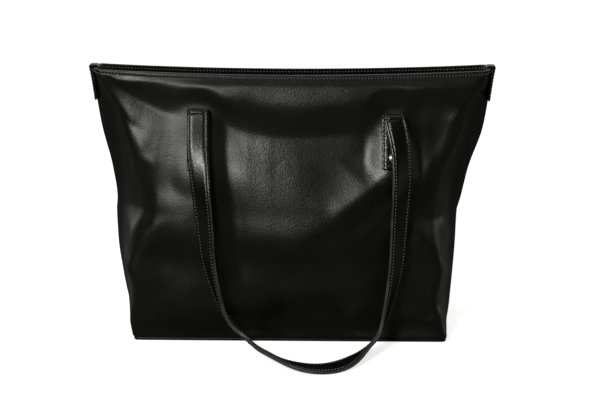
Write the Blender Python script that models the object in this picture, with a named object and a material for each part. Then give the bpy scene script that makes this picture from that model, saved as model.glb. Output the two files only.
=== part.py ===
"""Soft leather tote bag with two long flat handles and a recessed zip, standing with its handles down.

Metres, +Z up, +X right, -Y towards the front. The origin is the middle of the base, on the surface below it.
Each sub-part is its own object. Moving pieces hang from an empty that sits on their joint's axis.
"""

import math

import bmesh
import bpy
import numpy as np
from mathutils import Vector

# Overall sizes of the standing bag
BAG_HEIGHT = 0.291
RIM_SAG = 0.0065
TOP_LENGTH = 0.431
SHOULDER_LENGTH = 0.4145
KNEE_LENGTH = 0.379
LOW_LENGTH = 0.364
BASE_LENGTH = 0.348
MOUTH_DEPTH = 0.038
COLLAR_DEPTH = 0.047
SHOULDER_DEPTH = 0.070
KNEE_DEPTH = 0.124
BELLY_DEPTH = 0.134
BASE_DEPTH = 0.126

# Heights at which those lengths and depths are taken
COLLAR_DROP = 0.028
SHOULDER_DROP = 0.064
KNEE_HEIGHT = 0.145
BELLY_HEIGHT = 0.085
LOW_HEIGHT = 0.045

# How far the front edge of each side stands in from the side seam
TOP_SIDE_SET = 0.007
SHOULDER_SIDE_SET = 0.030
KNEE_SIDE_SET = 0.044
LOW_SIDE_SET = 0.019
BASE_SIDE_SET = 0.004

# How round the upright corners are
TOP_CORNER = 0.004
SHOULDER_CORNER = 0.016
KNEE_CORNER = 0.028
BASE_CORNER = 0.008

# How much the front and back bow out between their corners
KNEE_CROWN = 0.005
LOW_CROWN = 0.003

# Leather and cloth thicknesses, and the gap that touching pieces keep
PANEL_THICK = 0.0016
FACING_THICK = 0.0014
PATCH_THICK = 0.0012
LINING_THICK = 0.0007
BASE_THICK = 0.0032
BOARD_THICK = 0.0020
TAB_THICK = 0.0018
LAYER_THICK = 0.0016
GAP = 0.0003

# Rim facing and lining
FACING_HEIGHT = 0.032
LINING_LAP = 0.006
LINING_EASE = 0.0008
BOARD_CLEARANCE = 0.0012

# Side tabs over the ends of the rim
TAB_WIDTH = 0.013
TAB_LENGTH = 0.036
TAB_INNER_LENGTH = 0.010

# Handles
STRAP_WIDTH = 0.022
STRAP_SPACING = 0.2084
STRAP_SHIFT = 0.0053
STRAP_END_MARGIN = 0.014
FOLD_DROP = 0.0465
FOLD_INNER_RADIUS = 0.0016
LOOP_REACH = 0.0821
LOOP_LIFT = 0.0027

# Rivets
RIVET_DROP = 0.020
RIVET_PITCH = 0.0235
RIVET_HEAD_RADIUS = 0.00425
RIVET_HEAD_HEIGHT = 0.0022
RIVET_POST_RADIUS = 0.0014
RIVET_TAIL_RADIUS = 0.0032
RIVET_TAIL_THICK = 0.0006
RIVET_FIT = 0.0003
PATCH_WIDTH = 0.028
PATCH_MARGIN = 0.012

# Zip
ZIP_RECESS = 0.012
ZIP_RIGHT_TAPE = 0.0205
ZIP_LEFT_TAPE = 0.0425
ZIP_END_REACH = 0.0025
ZIP_END_EASE = 0.004
ZIP_STRIP_THICK = 0.0014
ZIP_STRIP_SLOT = 0.0065
ZIP_TAPE_THICK = 0.0006
ZIP_TAPE_LAP = 0.005
ZIP_TAPE_SLOT = 0.0016
ZIP_COIL_HALF_WIDTH = 0.0027
ZIP_COIL_THICK = 0.0022
ZIP_NOTCH_LENGTH = 0.0085

# Zip slider and its pull
SLIDER_LENGTH = 0.0125
SLIDER_WIDTH = 0.0088
SLIDER_PLATE = 0.0012
SLIDER_CLEARANCE = 0.0004
DIVIDER_LENGTH = 0.0028
DIVIDER_WIDTH = 0.0016
BRIDGE_LENGTH = 0.0062
BRIDGE_WIDTH = 0.0026
BRIDGE_BAR = 0.0011
PULL_BAR = 0.0014
PULL_CLEARANCE = 0.0004
PULL_EYE_LENGTH = 0.0062
PULL_EYE_WIDTH = 0.0040
PULL_WIDTH = 0.0080
PULL_LENGTH = 0.028
PULL_THICK = 0.0014

# Fineness of the meshes, and the step over which the wall's slope is taken
SLOPE_STEP = 0.002
WALL_COLUMNS = 32
WALL_ROWS = 12
FACING_ROWS = 3
LINING_COLUMNS = 24
LINING_ROWS = 10
STRAP_STEPS = 58
ROUND_SEGMENTS = 12
TABLE_ROWS = 117
TABLE_COLUMNS = 161
FACE_POINTS = 24
CORNER_POINTS = 10
SIDE_POINTS = 12
TAB_STEPS = 6
STRAP_END_STEPS = 9
FOLD_STEPS = 11
PATCH_STEPS = 6
SHARP_ANGLE = 40.0

FRONT = -1.0
BACK = 1.0


def finish(name, colour, roughness, metallic):
    """Principled material of one colour, found again by its name."""
    material = bpy.data.materials.get(name)
    if material is None:
        material = bpy.data.materials.new(name)
    material.use_nodes = True
    shader = material.node_tree.nodes["Principled BSDF"]
    shader.inputs["Base Color"].default_value = (*colour, 1.0)
    shader.inputs["Roughness"].default_value = roughness
    shader.inputs["Metallic"].default_value = metallic
    return material


def bag_leather():
    return finish("bag_leather", (0.012, 0.0115, 0.011), 0.36, 0.0)


def strap_leather():
    return finish("strap_leather", (0.011, 0.0105, 0.010), 0.33, 0.0)


def lining_cloth():
    return finish("lining_cloth", (0.035, 0.034, 0.034), 0.85, 0.0)


def board_fibre():
    return finish("board_fibre", (0.10, 0.085, 0.07), 0.8, 0.0)


def zip_cloth():
    return finish("zip_cloth", (0.014, 0.014, 0.015), 0.8, 0.0)


def coil_nylon():
    return finish("coil_nylon", (0.012, 0.012, 0.013), 0.45, 0.0)


def bright_metal():
    return finish("bright_metal", (0.62, 0.62, 0.63), 0.22, 1.0)


def remove_everything():
    for thing in list(bpy.data.objects):
        bpy.data.objects.remove(thing, do_unlink=True)


def smooth_through(stations, where):
    """Value at one place of a smooth curve through (place, value) stations that never overshoots them."""
    places = np.array([s[0] for s in stations])
    values = np.array([s[1] for s in stations])
    steps = np.diff(places)
    slopes = np.diff(values) / steps
    tangents = np.zeros(len(places))
    for i in range(1, len(places) - 1):
        if slopes[i - 1] * slopes[i] > 0.0:
            tangents[i] = 2.0 * slopes[i - 1] * slopes[i] / (slopes[i - 1] + slopes[i])
    tangents[0] = slopes[0]
    tangents[-1] = slopes[-1]
    where = min(max(where, places[0]), places[-1])
    i = int(np.clip(np.searchsorted(places, where) - 1, 0, len(steps) - 1))
    t = (where - places[i]) / steps[i]
    start = (1.0 + 2.0 * t) * (1.0 - t) ** 2 * values[i] + t * (1.0 - t) ** 2 * steps[i] * tangents[i]
    end = t * t * (3.0 - 2.0 * t) * values[i + 1] + t * t * (t - 1.0) * steps[i] * tangents[i + 1]
    return start + end


COLLAR_HEIGHT = BAG_HEIGHT - COLLAR_DROP
SHOULDER_HEIGHT = BAG_HEIGHT - SHOULDER_DROP
FOLD_HEIGHT = BAG_HEIGHT - FOLD_DROP
RIVET_LOW_HEIGHT = FOLD_HEIGHT - RIVET_DROP - RIVET_PITCH
STRAP_END_HEIGHT = RIVET_LOW_HEIGHT - STRAP_END_MARGIN

SEAM_HALF_LENGTH = [
    (0.0, BASE_LENGTH / 2),
    (LOW_HEIGHT, LOW_LENGTH / 2),
    (KNEE_HEIGHT, KNEE_LENGTH / 2),
    (SHOULDER_HEIGHT, SHOULDER_LENGTH / 2),
    (BAG_HEIGHT, TOP_LENGTH / 2),
]
HALF_DEPTH = [
    (0.0, BASE_DEPTH / 2),
    (BELLY_HEIGHT, BELLY_DEPTH / 2),
    (KNEE_HEIGHT, KNEE_DEPTH / 2),
    (SHOULDER_HEIGHT, SHOULDER_DEPTH / 2),
    (COLLAR_HEIGHT, COLLAR_DEPTH / 2),
    (BAG_HEIGHT, MOUTH_DEPTH / 2),
]
SIDE_SET = [
    (0.0, BASE_SIDE_SET),
    (LOW_HEIGHT, LOW_SIDE_SET),
    (KNEE_HEIGHT, KNEE_SIDE_SET),
    (SHOULDER_HEIGHT, SHOULDER_SIDE_SET),
    (BAG_HEIGHT, TOP_SIDE_SET),
]
CORNER_ROUND = [
    (0.0, BASE_CORNER),
    (KNEE_HEIGHT, KNEE_CORNER),
    (SHOULDER_HEIGHT, SHOULDER_CORNER),
    (BAG_HEIGHT, TOP_CORNER),
]
CROWN = [
    (0.0, 0.0),
    (LOW_HEIGHT, LOW_CROWN),
    (KNEE_HEIGHT, KNEE_CROWN),
    (COLLAR_HEIGHT, 0.0),
    (BAG_HEIGHT, 0.0),
]


def face_depth(across, height):
    """Distance of the front or back face from the middle plane, at one place across the bag."""
    corner = smooth_through(SEAM_HALF_LENGTH, height) - smooth_through(SIDE_SET, height)
    bow = smooth_through(CROWN, height) * (1.0 - (across / corner) ** 2)
    return smooth_through(HALF_DEPTH, height) + bow


def quarter_section(height):
    """Quarter of the bag's outline at one height, from the middle of the face to the side seam."""
    seam = smooth_through(SEAM_HALF_LENGTH, height)
    depth = smooth_through(HALF_DEPTH, height)
    corner = Vector((seam - smooth_through(SIDE_SET, height), depth))
    rounding = smooth_through(CORNER_ROUND, height)
    down_side = (Vector((seam, 0.0)) - corner).normalized()
    points = []
    for across in np.linspace(0.0, corner.x - rounding, FACE_POINTS):
        points.append(Vector((across, face_depth(across, height))))
    start = points[-1]
    end = corner + down_side * rounding
    for t in np.linspace(0.0, 1.0, CORNER_POINTS)[1:]:
        points.append(start * (1 - t) ** 2 + corner * 2 * t * (1 - t) + end * t * t)
    for t in np.linspace(0.0, 1.0, SIDE_POINTS)[1:]:
        points.append(end.lerp(Vector((seam, 0.0)), t))
    return np.array(points)


def wall_table():
    """Outer surface of a quarter of the bag, sampled evenly along each outline and up the height."""
    heights = np.linspace(0.0, BAG_HEIGHT, TABLE_ROWS)
    shares = np.linspace(0.0, 1.0, TABLE_COLUMNS)
    table = np.zeros((len(heights), len(shares), 2))
    for row, height in enumerate(heights):
        points = quarter_section(height)
        lengths = np.concatenate([[0.0], np.cumsum(np.linalg.norm(np.diff(points, axis=0), axis=1))])
        lengths /= lengths[-1]
        table[row, :, 0] = np.interp(shares, lengths, points[:, 0])
        table[row, :, 1] = np.interp(shares, lengths, points[:, 1])
    return table


WALL = wall_table()


def outer_point(side, along, height):
    """Point of the outer surface. along runs from -1 at the left seam to 1 at the right seam."""
    share = min(abs(along), 1.0) * (WALL.shape[1] - 1)
    level = min(max(height / BAG_HEIGHT, 0.0), 1.0) * (WALL.shape[0] - 1)
    column = min(int(share), WALL.shape[1] - 2)
    row = min(int(level), WALL.shape[0] - 2)
    s = share - column
    t = level - row
    low = WALL[row, column] * (1 - s) + WALL[row, column + 1] * s
    high = WALL[row + 1, column] * (1 - s) + WALL[row + 1, column + 1] * s
    x, y = low * (1 - t) + high * t
    return Vector((math.copysign(x, along), side * y, height))


def outward(side, along, height):
    """Unit normal of the outer surface."""
    step_along = 0.02
    step_up = 2 * SLOPE_STEP
    across = outer_point(side, min(along + step_along, 1.0), height)
    across -= outer_point(side, max(along - step_along, -1.0), height)
    up = outer_point(side, along, min(height + step_up, BAG_HEIGHT))
    up -= outer_point(side, along, max(height - step_up, 0.0))
    up.z = min(height + step_up, BAG_HEIGHT) - max(height - step_up, 0.0)
    normal = across.cross(up) if side == FRONT else up.cross(across)
    return normal.normalized()


def wall_point(side, along, height, inset):
    """Point at the same height, inside the wall by inset square to it, on its own half of the bag."""
    level = outward(side, along, height)
    level.z = 0.0
    point = outer_point(side, along, height) - level * inset / level.length_squared
    if point.y * side < GAP / 2:
        point.y = side * GAP / 2
    return point


def rim_height(along):
    """Height of the rim, which sags between the side seams."""
    return BAG_HEIGHT - RIM_SAG * (1.0 - along * along)


def mesh_object(name, points, faces, material, parent=None):
    """Closed mesh object with its faces turned outwards."""
    mesh = bpy.data.meshes.new(name)
    origin = parent.location if parent else Vector()
    mesh.from_pydata([Vector(p) - origin for p in points], [], faces)
    work = bmesh.new()
    work.from_mesh(mesh)
    bmesh.ops.recalc_face_normals(work, faces=work.faces)
    work.to_mesh(mesh)
    work.free()
    mesh.materials.append(material)
    thing = bpy.data.objects.new(name, mesh)
    bpy.context.collection.objects.link(thing)
    if parent:
        thing.parent = parent
    return thing


def axis_empty(name, location):
    """Empty on a joint's axis. The moving pieces are its children."""
    empty = bpy.data.objects.new(name, None)
    empty.location = location
    bpy.context.collection.objects.link(empty)
    return empty


def round_off(thing):
    """Smooth shading with the hard edges kept."""
    thing.data.shade_smooth()
    thing.data.set_sharp_from_angle(angle=math.radians(SHARP_ANGLE))


def cut_quad(quad, first_corner):
    """Two triangles of a quad, cut from its first or its second corner."""
    a, b, c, d = quad
    return [(a, b, c), (a, c, d)] if first_corner else [(a, b, d), (b, c, d)]


def sheet_solid(name, outer, inner, material, parent=None):
    """Closed solid between two matching grids of points, whose faces are cut along the same diagonals."""
    rows = len(outer)
    columns = len(outer[0])
    points = [p for row in outer for p in row] + [p for row in inner for p in row]
    shift = rows * columns

    def at(row, column, layer):
        return layer * shift + row * columns + column

    faces = []
    for r in range(rows - 1):
        for c in range(columns - 1):
            left_half = c < (columns - 1) / 2
            for layer in (0, 1):
                low = (at(r, c, layer), at(r, c + 1, layer))
                high = (at(r + 1, c + 1, layer), at(r + 1, c, layer))
                faces += cut_quad(low + high, left_half)
    for c in range(columns - 1):
        for r in (0, rows - 1):
            faces.append((at(r, c, 0), at(r, c + 1, 0), at(r, c + 1, 1), at(r, c, 1)))
    for r in range(rows - 1):
        for c in (0, columns - 1):
            faces.append((at(r, c, 0), at(r + 1, c, 0), at(r + 1, c, 1), at(r, c, 1)))
    return mesh_object(name, points, faces, material, parent)


def loft(name, rings, material, parent=None, diagonals=None):
    """Closed solid through matching rings of points, with flat ends.

    diagonals(ring, place) says how a face is cut, so that thin layers stay apart: from its first corner if true,
    from its second if false, and anyhow if None.
    """
    count = len(rings[0])
    points = [p for ring in rings for p in ring]
    faces = []
    for r in range(len(rings) - 1):
        for c in range(count):
            d = (c + 1) % count
            near, near_next = r * count + c, r * count + d
            quad = (near, near_next, near_next + count, near + count)
            first_corner = diagonals(r, c) if diagonals else None
            faces += [quad] if first_corner is None else cut_quad(quad, first_corner)
    faces.append(tuple(range(count)))
    faces.append(tuple((len(rings) - 1) * count + c for c in range(count)))
    return mesh_object(name, points, faces, material, parent)


def block(name, low, high, material, parent=None):
    """Rectangular solid between two corners."""
    corners = ((low[0], low[1]), (high[0], low[1]), (high[0], high[1]), (low[0], high[1]))
    rings = [[(x, y, z) for x, y in corners] for z in (low[2], high[2])]
    return loft(name, rings, material, parent)


def join_in(thing, tool, operation):
    """Adds one solid to another or cuts it away. The tool itself stays a guide."""
    tool.hide_render = True
    tool.display_type = "WIRE"
    change = thing.modifiers.new(tool.name, "BOOLEAN")
    change.operation = operation
    change.solver = "EXACT"
    change.object = tool


def turned(name, profile, centre, axis, material):
    """Solid of revolution. The profile lists (radius, distance along the axis) from axis to axis."""
    helper = Vector((1, 0, 0)) if abs(axis.x) < 0.9 else Vector((0, 0, 1))
    across = axis.cross(helper).normalized()
    other = axis.cross(across)
    points = [centre + axis * profile[0][1]]
    for radius, height in profile[1:-1]:
        for k in range(ROUND_SEGMENTS):
            angle = 2 * math.pi * k / ROUND_SEGMENTS
            turn = across * math.cos(angle) + other * math.sin(angle)
            points.append(centre + axis * height + turn * radius)
    points.append(centre + axis * profile[-1][1])
    faces = []
    rings = len(profile) - 2
    for k in range(ROUND_SEGMENTS):
        n = (k + 1) % ROUND_SEGMENTS
        faces.append((0, 1 + k, 1 + n))
        for r in range(rings - 1):
            a = 1 + r * ROUND_SEGMENTS
            b = a + ROUND_SEGMENTS
            faces.append((a + k, b + k, b + n, a + n))
        last = 1 + (rings - 1) * ROUND_SEGMENTS
        faces.append((last + k, len(points) - 1, last + n))
    thing = mesh_object(name, points, faces, material)
    round_off(thing)
    return thing


def facing_levels(along):
    """Heights of the facing's rows at one place along the rim."""
    return list(np.linspace(rim_height(along) - FACING_HEIGHT, rim_height(along), FACING_ROWS + 1))


def panel_levels(along):
    """Heights of a panel's rows, the upper ones shared with the facing behind them."""
    upper = facing_levels(along)
    return list(np.linspace(PANEL_BOTTOM, upper[0], WALL_ROWS + 1)) + upper[1:]


def wall_sheet(name, side, outset, thick, levels, material):
    """Sheet that follows the wall at the heights that levels(along) gives."""
    alongs = np.linspace(-1.0, 1.0, WALL_COLUMNS + 1)
    grids = []
    for inset in (outset, outset + thick):
        columns = [[wall_point(side, along, height, inset) for height in levels(along)] for along in alongs]
        grids.append(list(zip(*columns)))
    return sheet_solid(name, grids[0], grids[1], material)


def round_the_wall(columns):
    """Side and place along it of points once round the bag, front first."""
    places = [(FRONT, along) for along in np.linspace(-1, 1, columns + 1)[:-1]]
    return places + [(BACK, along) for along in np.linspace(1, -1, columns + 1)[:-1]]


FACING_INSET = PANEL_THICK + GAP
FACING_INNER = FACING_INSET + FACING_THICK
PATCH_INSET = PANEL_THICK + GAP
RIVET_TAIL_INNER = PATCH_INSET + PATCH_THICK + GAP + RIVET_TAIL_THICK
LINING_INSET = max(RIVET_TAIL_INNER, FACING_INNER) + LINING_EASE
PANEL_BOTTOM = BASE_THICK + GAP
BOARD_TOP = PANEL_BOTTOM + BOARD_THICK
LINING_BOTTOM = BOARD_TOP + GAP


def panels():
    """Front and back leather panels, each reaching round to the side seams."""
    made = {}
    for side, name in ((FRONT, "front_panel"), (BACK, "back_panel")):
        made[side] = wall_sheet(name, side, 0.0, PANEL_THICK, panel_levels, bag_leather())
    return made


def facings():
    """Leather facing strips inside the rim."""
    for side, name in ((FRONT, "front_rim_facing"), (BACK, "back_rim_facing")):
        wall_sheet(name, side, FACING_INSET, FACING_THICK, facing_levels, bag_leather())


def lining():
    """Cloth lining: one open bag inside the leather."""

    def ring(inset, share):
        points = []
        for side, along in round_the_wall(LINING_COLUMNS):
            top = rim_height(along) - FACING_HEIGHT + LINING_LAP
            point = wall_point(side, along, LINING_BOTTOM + share * (top - LINING_BOTTOM), inset)
            if abs(along) == 1.0:
                point.y = 0.0
            points.append(point)
        return points

    shares = list(np.linspace(0.0, 1.0, LINING_ROWS + 1))
    floor = LINING_BOTTOM + LINING_THICK
    rings = [ring(LINING_INSET, share) for share in shares]
    inner = [ring(LINING_INSET + LINING_THICK, share) for share in reversed(shares)]
    for point in inner[-1]:
        point.z = floor

    def diagonals(ring_number, place):
        return None if ring_number == LINING_ROWS else ring_number < LINING_ROWS

    return loft("lining", rings + inner, lining_cloth(), diagonals=diagonals)


def base():
    """Base leather and the stiff board that lies on it."""

    def outline(inset, z):
        points = []
        for side, along in round_the_wall(WALL_COLUMNS):
            point = wall_point(side, along, PANEL_BOTTOM, inset)
            if abs(along) == 1.0:
                point.y = 0.0
            points.append((point.x, point.y, z))
        return points

    loft("base_panel", [outline(0.0, 0.0), outline(0.0, BASE_THICK)], bag_leather())
    board_inset = PANEL_THICK + BOARD_CLEARANCE
    loft("base_board", [outline(board_inset, PANEL_BOTTOM), outline(board_inset, BOARD_TOP)], board_fibre())


def mouth_end_x(aside, height):
    """How far along the mouth a piece reaches, aside wide to each side, before it meets the end walls."""
    side_slope = smooth_through(SIDE_SET, height) / smooth_through(HALF_DEPTH, height)
    wall = FACING_INNER * math.hypot(1.0, side_slope)
    return smooth_through(SEAM_HALF_LENGTH, height) - wall - side_slope * aside - 2 * GAP


def tab_path(sign):
    """Inner face of a side tab: up the side seam, over the rim's end and down inside."""
    rim = BAG_HEIGHT
    places = []
    for height in np.linspace(rim - TAB_LENGTH, rim, TAB_STEPS):
        places.append((smooth_through(SEAM_HALF_LENGTH, height) + GAP, height))
    places.append((places[-1][0] - GAP, rim + GAP))
    places.append((mouth_end_x(TAB_WIDTH / 2, rim) + GAP, rim + GAP))
    for height in (rim, rim - TAB_INNER_LENGTH):
        places.append((mouth_end_x(TAB_WIDTH / 2, height), height))
    return [Vector((sign * x, 0.0, z)) for x, z in places]


def offset_path(path, distance):
    """The same path moved sideways in its own upright plane."""
    least_mitre = 0.3
    moved = []
    for i, point in enumerate(path):
        before = path[max(i - 1, 0)]
        after = path[min(i + 1, len(path) - 1)]
        a = (point - before).normalized() if i else (after - point).normalized()
        b = (after - point).normalized() if i < len(path) - 1 else a
        normal_a = Vector((a.z, 0.0, -a.x))
        normal_b = Vector((b.z, 0.0, -b.x))
        mitre = (normal_a + normal_b).normalized()
        moved.append(point + mitre * distance / max(mitre.dot(normal_a), least_mitre))
    return moved


def side_tabs():
    """Leather tabs folded over the ends of the rim, down the side seams and in to the zip ends."""
    for sign, name in ((-1, "left_side_tab"), (1, "right_side_tab")):
        under = tab_path(sign)
        over = offset_path(under, sign * TAB_THICK)
        rings = []
        for low, high in zip(under, over):
            half = Vector((0.0, TAB_WIDTH / 2, 0.0))
            rings.append([low - half, low + half, high + half, high - half])
        loft(name, rings, bag_leather())


STRAP_THICK = 2 * LAYER_THICK + GAP
LEFT_STRAP_X = STRAP_SHIFT - STRAP_SPACING / 2
RIGHT_STRAP_X = STRAP_SHIFT + STRAP_SPACING / 2
STRAP_INNER = GAP
STRAP_OUTER = GAP + STRAP_THICK
PIVOT_AHEAD = STRAP_OUTER + FOLD_INNER_RADIUS
FOLD_RADIUS = FOLD_INNER_RADIUS + STRAP_THICK / 2


def panel_frame(side, x, height):
    """Point, outward normal and level tangent of the face where a strap lies."""
    step = SLOPE_STEP
    point = Vector((x, side * face_depth(x, height), height))
    across = Vector((2 * step, side * (face_depth(x + step, height) - face_depth(x - step, height)), 0.0))
    rise = Vector((0.0, side * (face_depth(x, height + step) - face_depth(x, height - step)), 2 * step))
    across.normalize()
    rise.normalize()
    normal = across.cross(rise) * -side
    return point, normal.normalized(), across


def pivot_y(side):
    """Middle of the fold, straight ahead of the wall."""
    return side * (face_depth(STRAP_SPACING / 2, FOLD_HEIGHT) + PIVOT_AHEAD)


def strap_end(name, side, x):
    """Sewn and riveted end of a strap, both layers as one, flat on the panel."""
    rings = []
    half = STRAP_WIDTH / 2
    heights = np.linspace(STRAP_END_HEIGHT, FOLD_HEIGHT, STRAP_END_STEPS)
    for i, height in enumerate(heights):
        point, normal, across = panel_frame(side, x, height)
        inner = point + normal * STRAP_INNER
        outer = point + normal * STRAP_OUTER
        if i == len(heights) - 1:
            straight = Vector((0.0, side, 0.0))
            inner = point + straight * STRAP_INNER
            outer = point + straight * STRAP_OUTER
            across = Vector((1.0, 0.0, 0.0))
        across *= half
        rings.append([inner - across, inner + across, outer + across, outer - across])
    return loft(name, rings, strap_leather())


def strap_fold(name, side, x):
    """Turned-over part of a strap, between its sewn end and its hanging part."""
    rings = []
    half = Vector((STRAP_WIDTH / 2, 0.0, 0.0))
    centre = Vector((x, pivot_y(side), FOLD_HEIGHT))
    spare = GAP / FOLD_RADIUS
    for angle in np.linspace(spare, math.pi - spare, FOLD_STEPS):
        ray = Vector((0.0, -side * math.cos(angle), math.sin(angle)))
        inner = centre + ray * FOLD_INNER_RADIUS
        outer = centre + ray * (FOLD_INNER_RADIUS + STRAP_THICK)
        rings.append([inner - half, inner + half, outer + half, outer - half])
    thing = loft(name, rings, strap_leather())
    round_off(thing)
    return thing


# Route of the hanging straps: share of the fold's height, shift to the right of the strap's sewn end,
# distance ahead of the wall, and turn of the strap about its own length in degrees
LEFT_LEG = (
    (0.955, 0.0009, 0.0096, 0),
    (0.905, 0.0002, 0.0108, 3),
    (0.850, 0.0008, 0.0112, 8),
    (0.765, 0.0033, 0.0112, 19),
    (0.660, 0.0055, 0.0100, 32),
    (0.530, 0.0097, 0.0103, 40),
    (0.395, 0.0122, 0.0112, 49),
    (0.265, 0.0203, 0.0134, 65),
    (0.145, 0.0297, 0.0180, 75),
    (0.080, 0.0457, 0.0235, 78),
)
RIGHT_LEG = (
    (0.955, 0.0027, 0.0098, 8),
    (0.890, 0.0066, 0.0112, 21),
    (0.780, 0.0075, 0.0110, 29),
    (0.665, 0.0062, 0.0100, 35),
    (0.520, 0.0042, 0.0104, 41),
    (0.395, 0.0027, 0.0110, 46),
    (0.270, -0.0020, 0.0124, 58),
    (0.175, -0.0075, 0.0152, 70),
    (0.110, -0.0108, 0.0200, 77),
)
# The loop that lies in front of the base: place across, distance ahead of the base, height, and where the
# strap's front edge points
LOOP = (
    (-0.0440, 0.0307, 0.0125, (0.36, -0.80, 0.48)),
    (-0.0325, 0.0422, 0.0083, (-0.34, -0.85, 0.40)),
    (-0.0175, 0.0619, 0.0080, (-0.43, -0.72, 0.54)),
    (0.0025, 0.0763, 0.0051, (-0.45, -0.86, 0.24)),
    (0.0212, LOOP_REACH, LOOP_LIFT, (-0.23, -0.97, 0.02)),
    (0.0389, LOOP_REACH, LOOP_LIFT, (0.09, -1.00, -0.03)),
    (0.0564, 0.0718, LOOP_LIFT, (0.49, -0.87, -0.05)),
    (0.0709, 0.0553, 0.0066, (0.60, -0.73, 0.33)),
    (0.0824, 0.0386, 0.0102, (0.22, -0.71, 0.67)),
    (0.0911, 0.0289, 0.0126, (-0.07, -0.96, 0.29)),
)


def leg_places(leg, x):
    """Middle points and edge directions of one hanging leg, from the fold down."""
    sign = -1.0 if x > 0 else 1.0
    ahead = PIVOT_AHEAD + FOLD_RADIUS
    places = [(Vector((x, -face_depth(x, FOLD_HEIGHT) - ahead, FOLD_HEIGHT)), Vector((sign, 0.0, 0.0)))]
    for share, shift, clear, turn in leg:
        height = share * FOLD_HEIGHT
        angle = math.radians(turn)
        point = Vector((x + shift, -face_depth(x + shift, height) - clear, height))
        places.append((point, Vector((sign * math.cos(angle), -math.sin(angle), 0.0))))
    return places


def handle_route():
    """Places along the whole hanging handle, from the left fold to the right one."""
    left = leg_places(LEFT_LEG, LEFT_STRAP_X)
    right = leg_places(RIGHT_LEG, RIGHT_STRAP_X)
    front_of_base = -BASE_DEPTH / 2
    loop = [(Vector((x, front_of_base - reach, z)), Vector(edge)) for x, reach, z, edge in LOOP]
    return left + loop + right[::-1]


def spline(points, count):
    """Evenly spaced points of a smooth curve through the given ones."""
    points = np.array(points, dtype=float)
    knots = np.concatenate([[0.0], np.cumsum(np.linalg.norm(np.diff(points[:, :3], axis=0), axis=1))])
    slopes = np.zeros_like(points)
    steps = np.diff(knots)[:, None]
    rates = np.diff(points, axis=0) / steps
    slopes[1:-1] = (rates[:-1] * steps[1:] + rates[1:] * steps[:-1]) / (steps[1:] + steps[:-1])
    slopes[0] = rates[0]
    slopes[-1] = rates[-1]
    result = []
    for where in np.linspace(0.0, knots[-1], count):
        i = int(np.clip(np.searchsorted(knots, where) - 1, 0, len(knots) - 2))
        h = knots[i + 1] - knots[i]
        t = (where - knots[i]) / h
        value = (1 + 2 * t) * (1 - t) ** 2 * points[i] + t * (1 - t) ** 2 * h * slopes[i]
        value += t * t * (3 - 2 * t) * points[i + 1] + t * t * (t - 1) * h * slopes[i + 1]
        result.append(value)
    return np.array(result)


def handle_frames(side):
    """Middle points, edge directions and normals along a handle. The back one mirrors the front one."""
    route = handle_route()
    samples = spline([(*point, *edge) for point, edge in route], STRAP_STEPS)
    middle = samples[:, :3]
    along = np.gradient(middle, axis=0)
    along[0] = (0.0, 0.0, -1.0)
    along[-1] = (0.0, 0.0, 1.0)
    frames = []
    for point, tangent, edge in zip(middle, along, samples[:, 3:]):
        tangent = Vector(tangent).normalized()
        edge = Vector(edge)
        edge = (edge - tangent * edge.dot(tangent)).normalized()
        normal = tangent.cross(edge)
        frame = [Vector(point), edge, normal]
        if side == BACK:
            frame = [Vector((v.x, -v.y, v.z)) for v in frame]
        frames.append(frame)
    return frames


def handle(side, label):
    """Hanging handle: an outer leather and a backing leather, sewn edge to edge."""
    empty = axis_empty(label + "_handle_axis", (0.0, pivot_y(side), FOLD_HEIGHT))
    half = STRAP_WIDTH / 2
    cuts = {0: True, 2: False}
    layers = (
        (label + "_handle_backing", GAP / 2, GAP / 2 + LAYER_THICK),
        (label + "_handle_leather", -GAP / 2 - LAYER_THICK, -GAP / 2),
    )
    for name, low, high in layers:
        rings = []
        for point, edge, normal in handle_frames(side):
            rings.append(
                [
                    point - edge * half + normal * low,
                    point + edge * half + normal * low,
                    point + edge * half + normal * high,
                    point - edge * half + normal * high,
                ]
            )
        loft(name, rings, strap_leather(), empty, diagonals=lambda ring, place: cuts.get(place))


def rivet_profile():
    """Turned profile of a rivet, from the top of its domed head to the end of its tail."""
    seat = STRAP_OUTER + GAP
    points = [(0.0, seat + RIVET_HEAD_HEIGHT)]
    for share in (0.45, 0.78, 0.95):
        lift = RIVET_HEAD_HEIGHT * math.sqrt(1.0 - share * share)
        points.append((RIVET_HEAD_RADIUS * share, seat + lift))
    points.append((RIVET_HEAD_RADIUS, seat))
    points.append((RIVET_POST_RADIUS, seat))
    tail = -(PATCH_INSET + PATCH_THICK + GAP)
    points.append((RIVET_POST_RADIUS, tail))
    points.append((RIVET_TAIL_RADIUS, tail))
    points.append((RIVET_TAIL_RADIUS, tail - RIVET_TAIL_THICK))
    points.append((0.0, tail - RIVET_TAIL_THICK))
    return points


def cut_rivet_hole(things, name, point, normal):
    """Round hole for a rivet's post through every layer it passes."""
    radius = RIVET_POST_RADIUS + RIVET_FIT
    reach = 2 * STRAP_OUTER
    profile = [(0.0, -reach), (radius, -reach), (radius, reach), (0.0, reach)]
    cutter = turned(name, profile, point, normal, bright_metal())
    for thing in things:
        join_in(thing, cutter, "DIFFERENCE")


def patch(name, side, x):
    """Leather patch behind the wall that the rivets pull on."""
    low = RIVET_LOW_HEIGHT - PATCH_MARGIN
    high = RIVET_LOW_HEIGHT + RIVET_PITCH + PATCH_MARGIN
    grids = []
    for inset in (PATCH_INSET, PATCH_INSET + PATCH_THICK):
        grid = []
        for height in np.linspace(low, high, PATCH_STEPS):
            point, normal, across = panel_frame(side, x, height)
            row = [point - normal * inset + across * PATCH_WIDTH * share for share in (-0.5, 0.0, 0.5)]
            grid.append(row)
        grids.append(grid)
    return sheet_solid(name, grids[0], grids[1], bag_leather())


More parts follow.
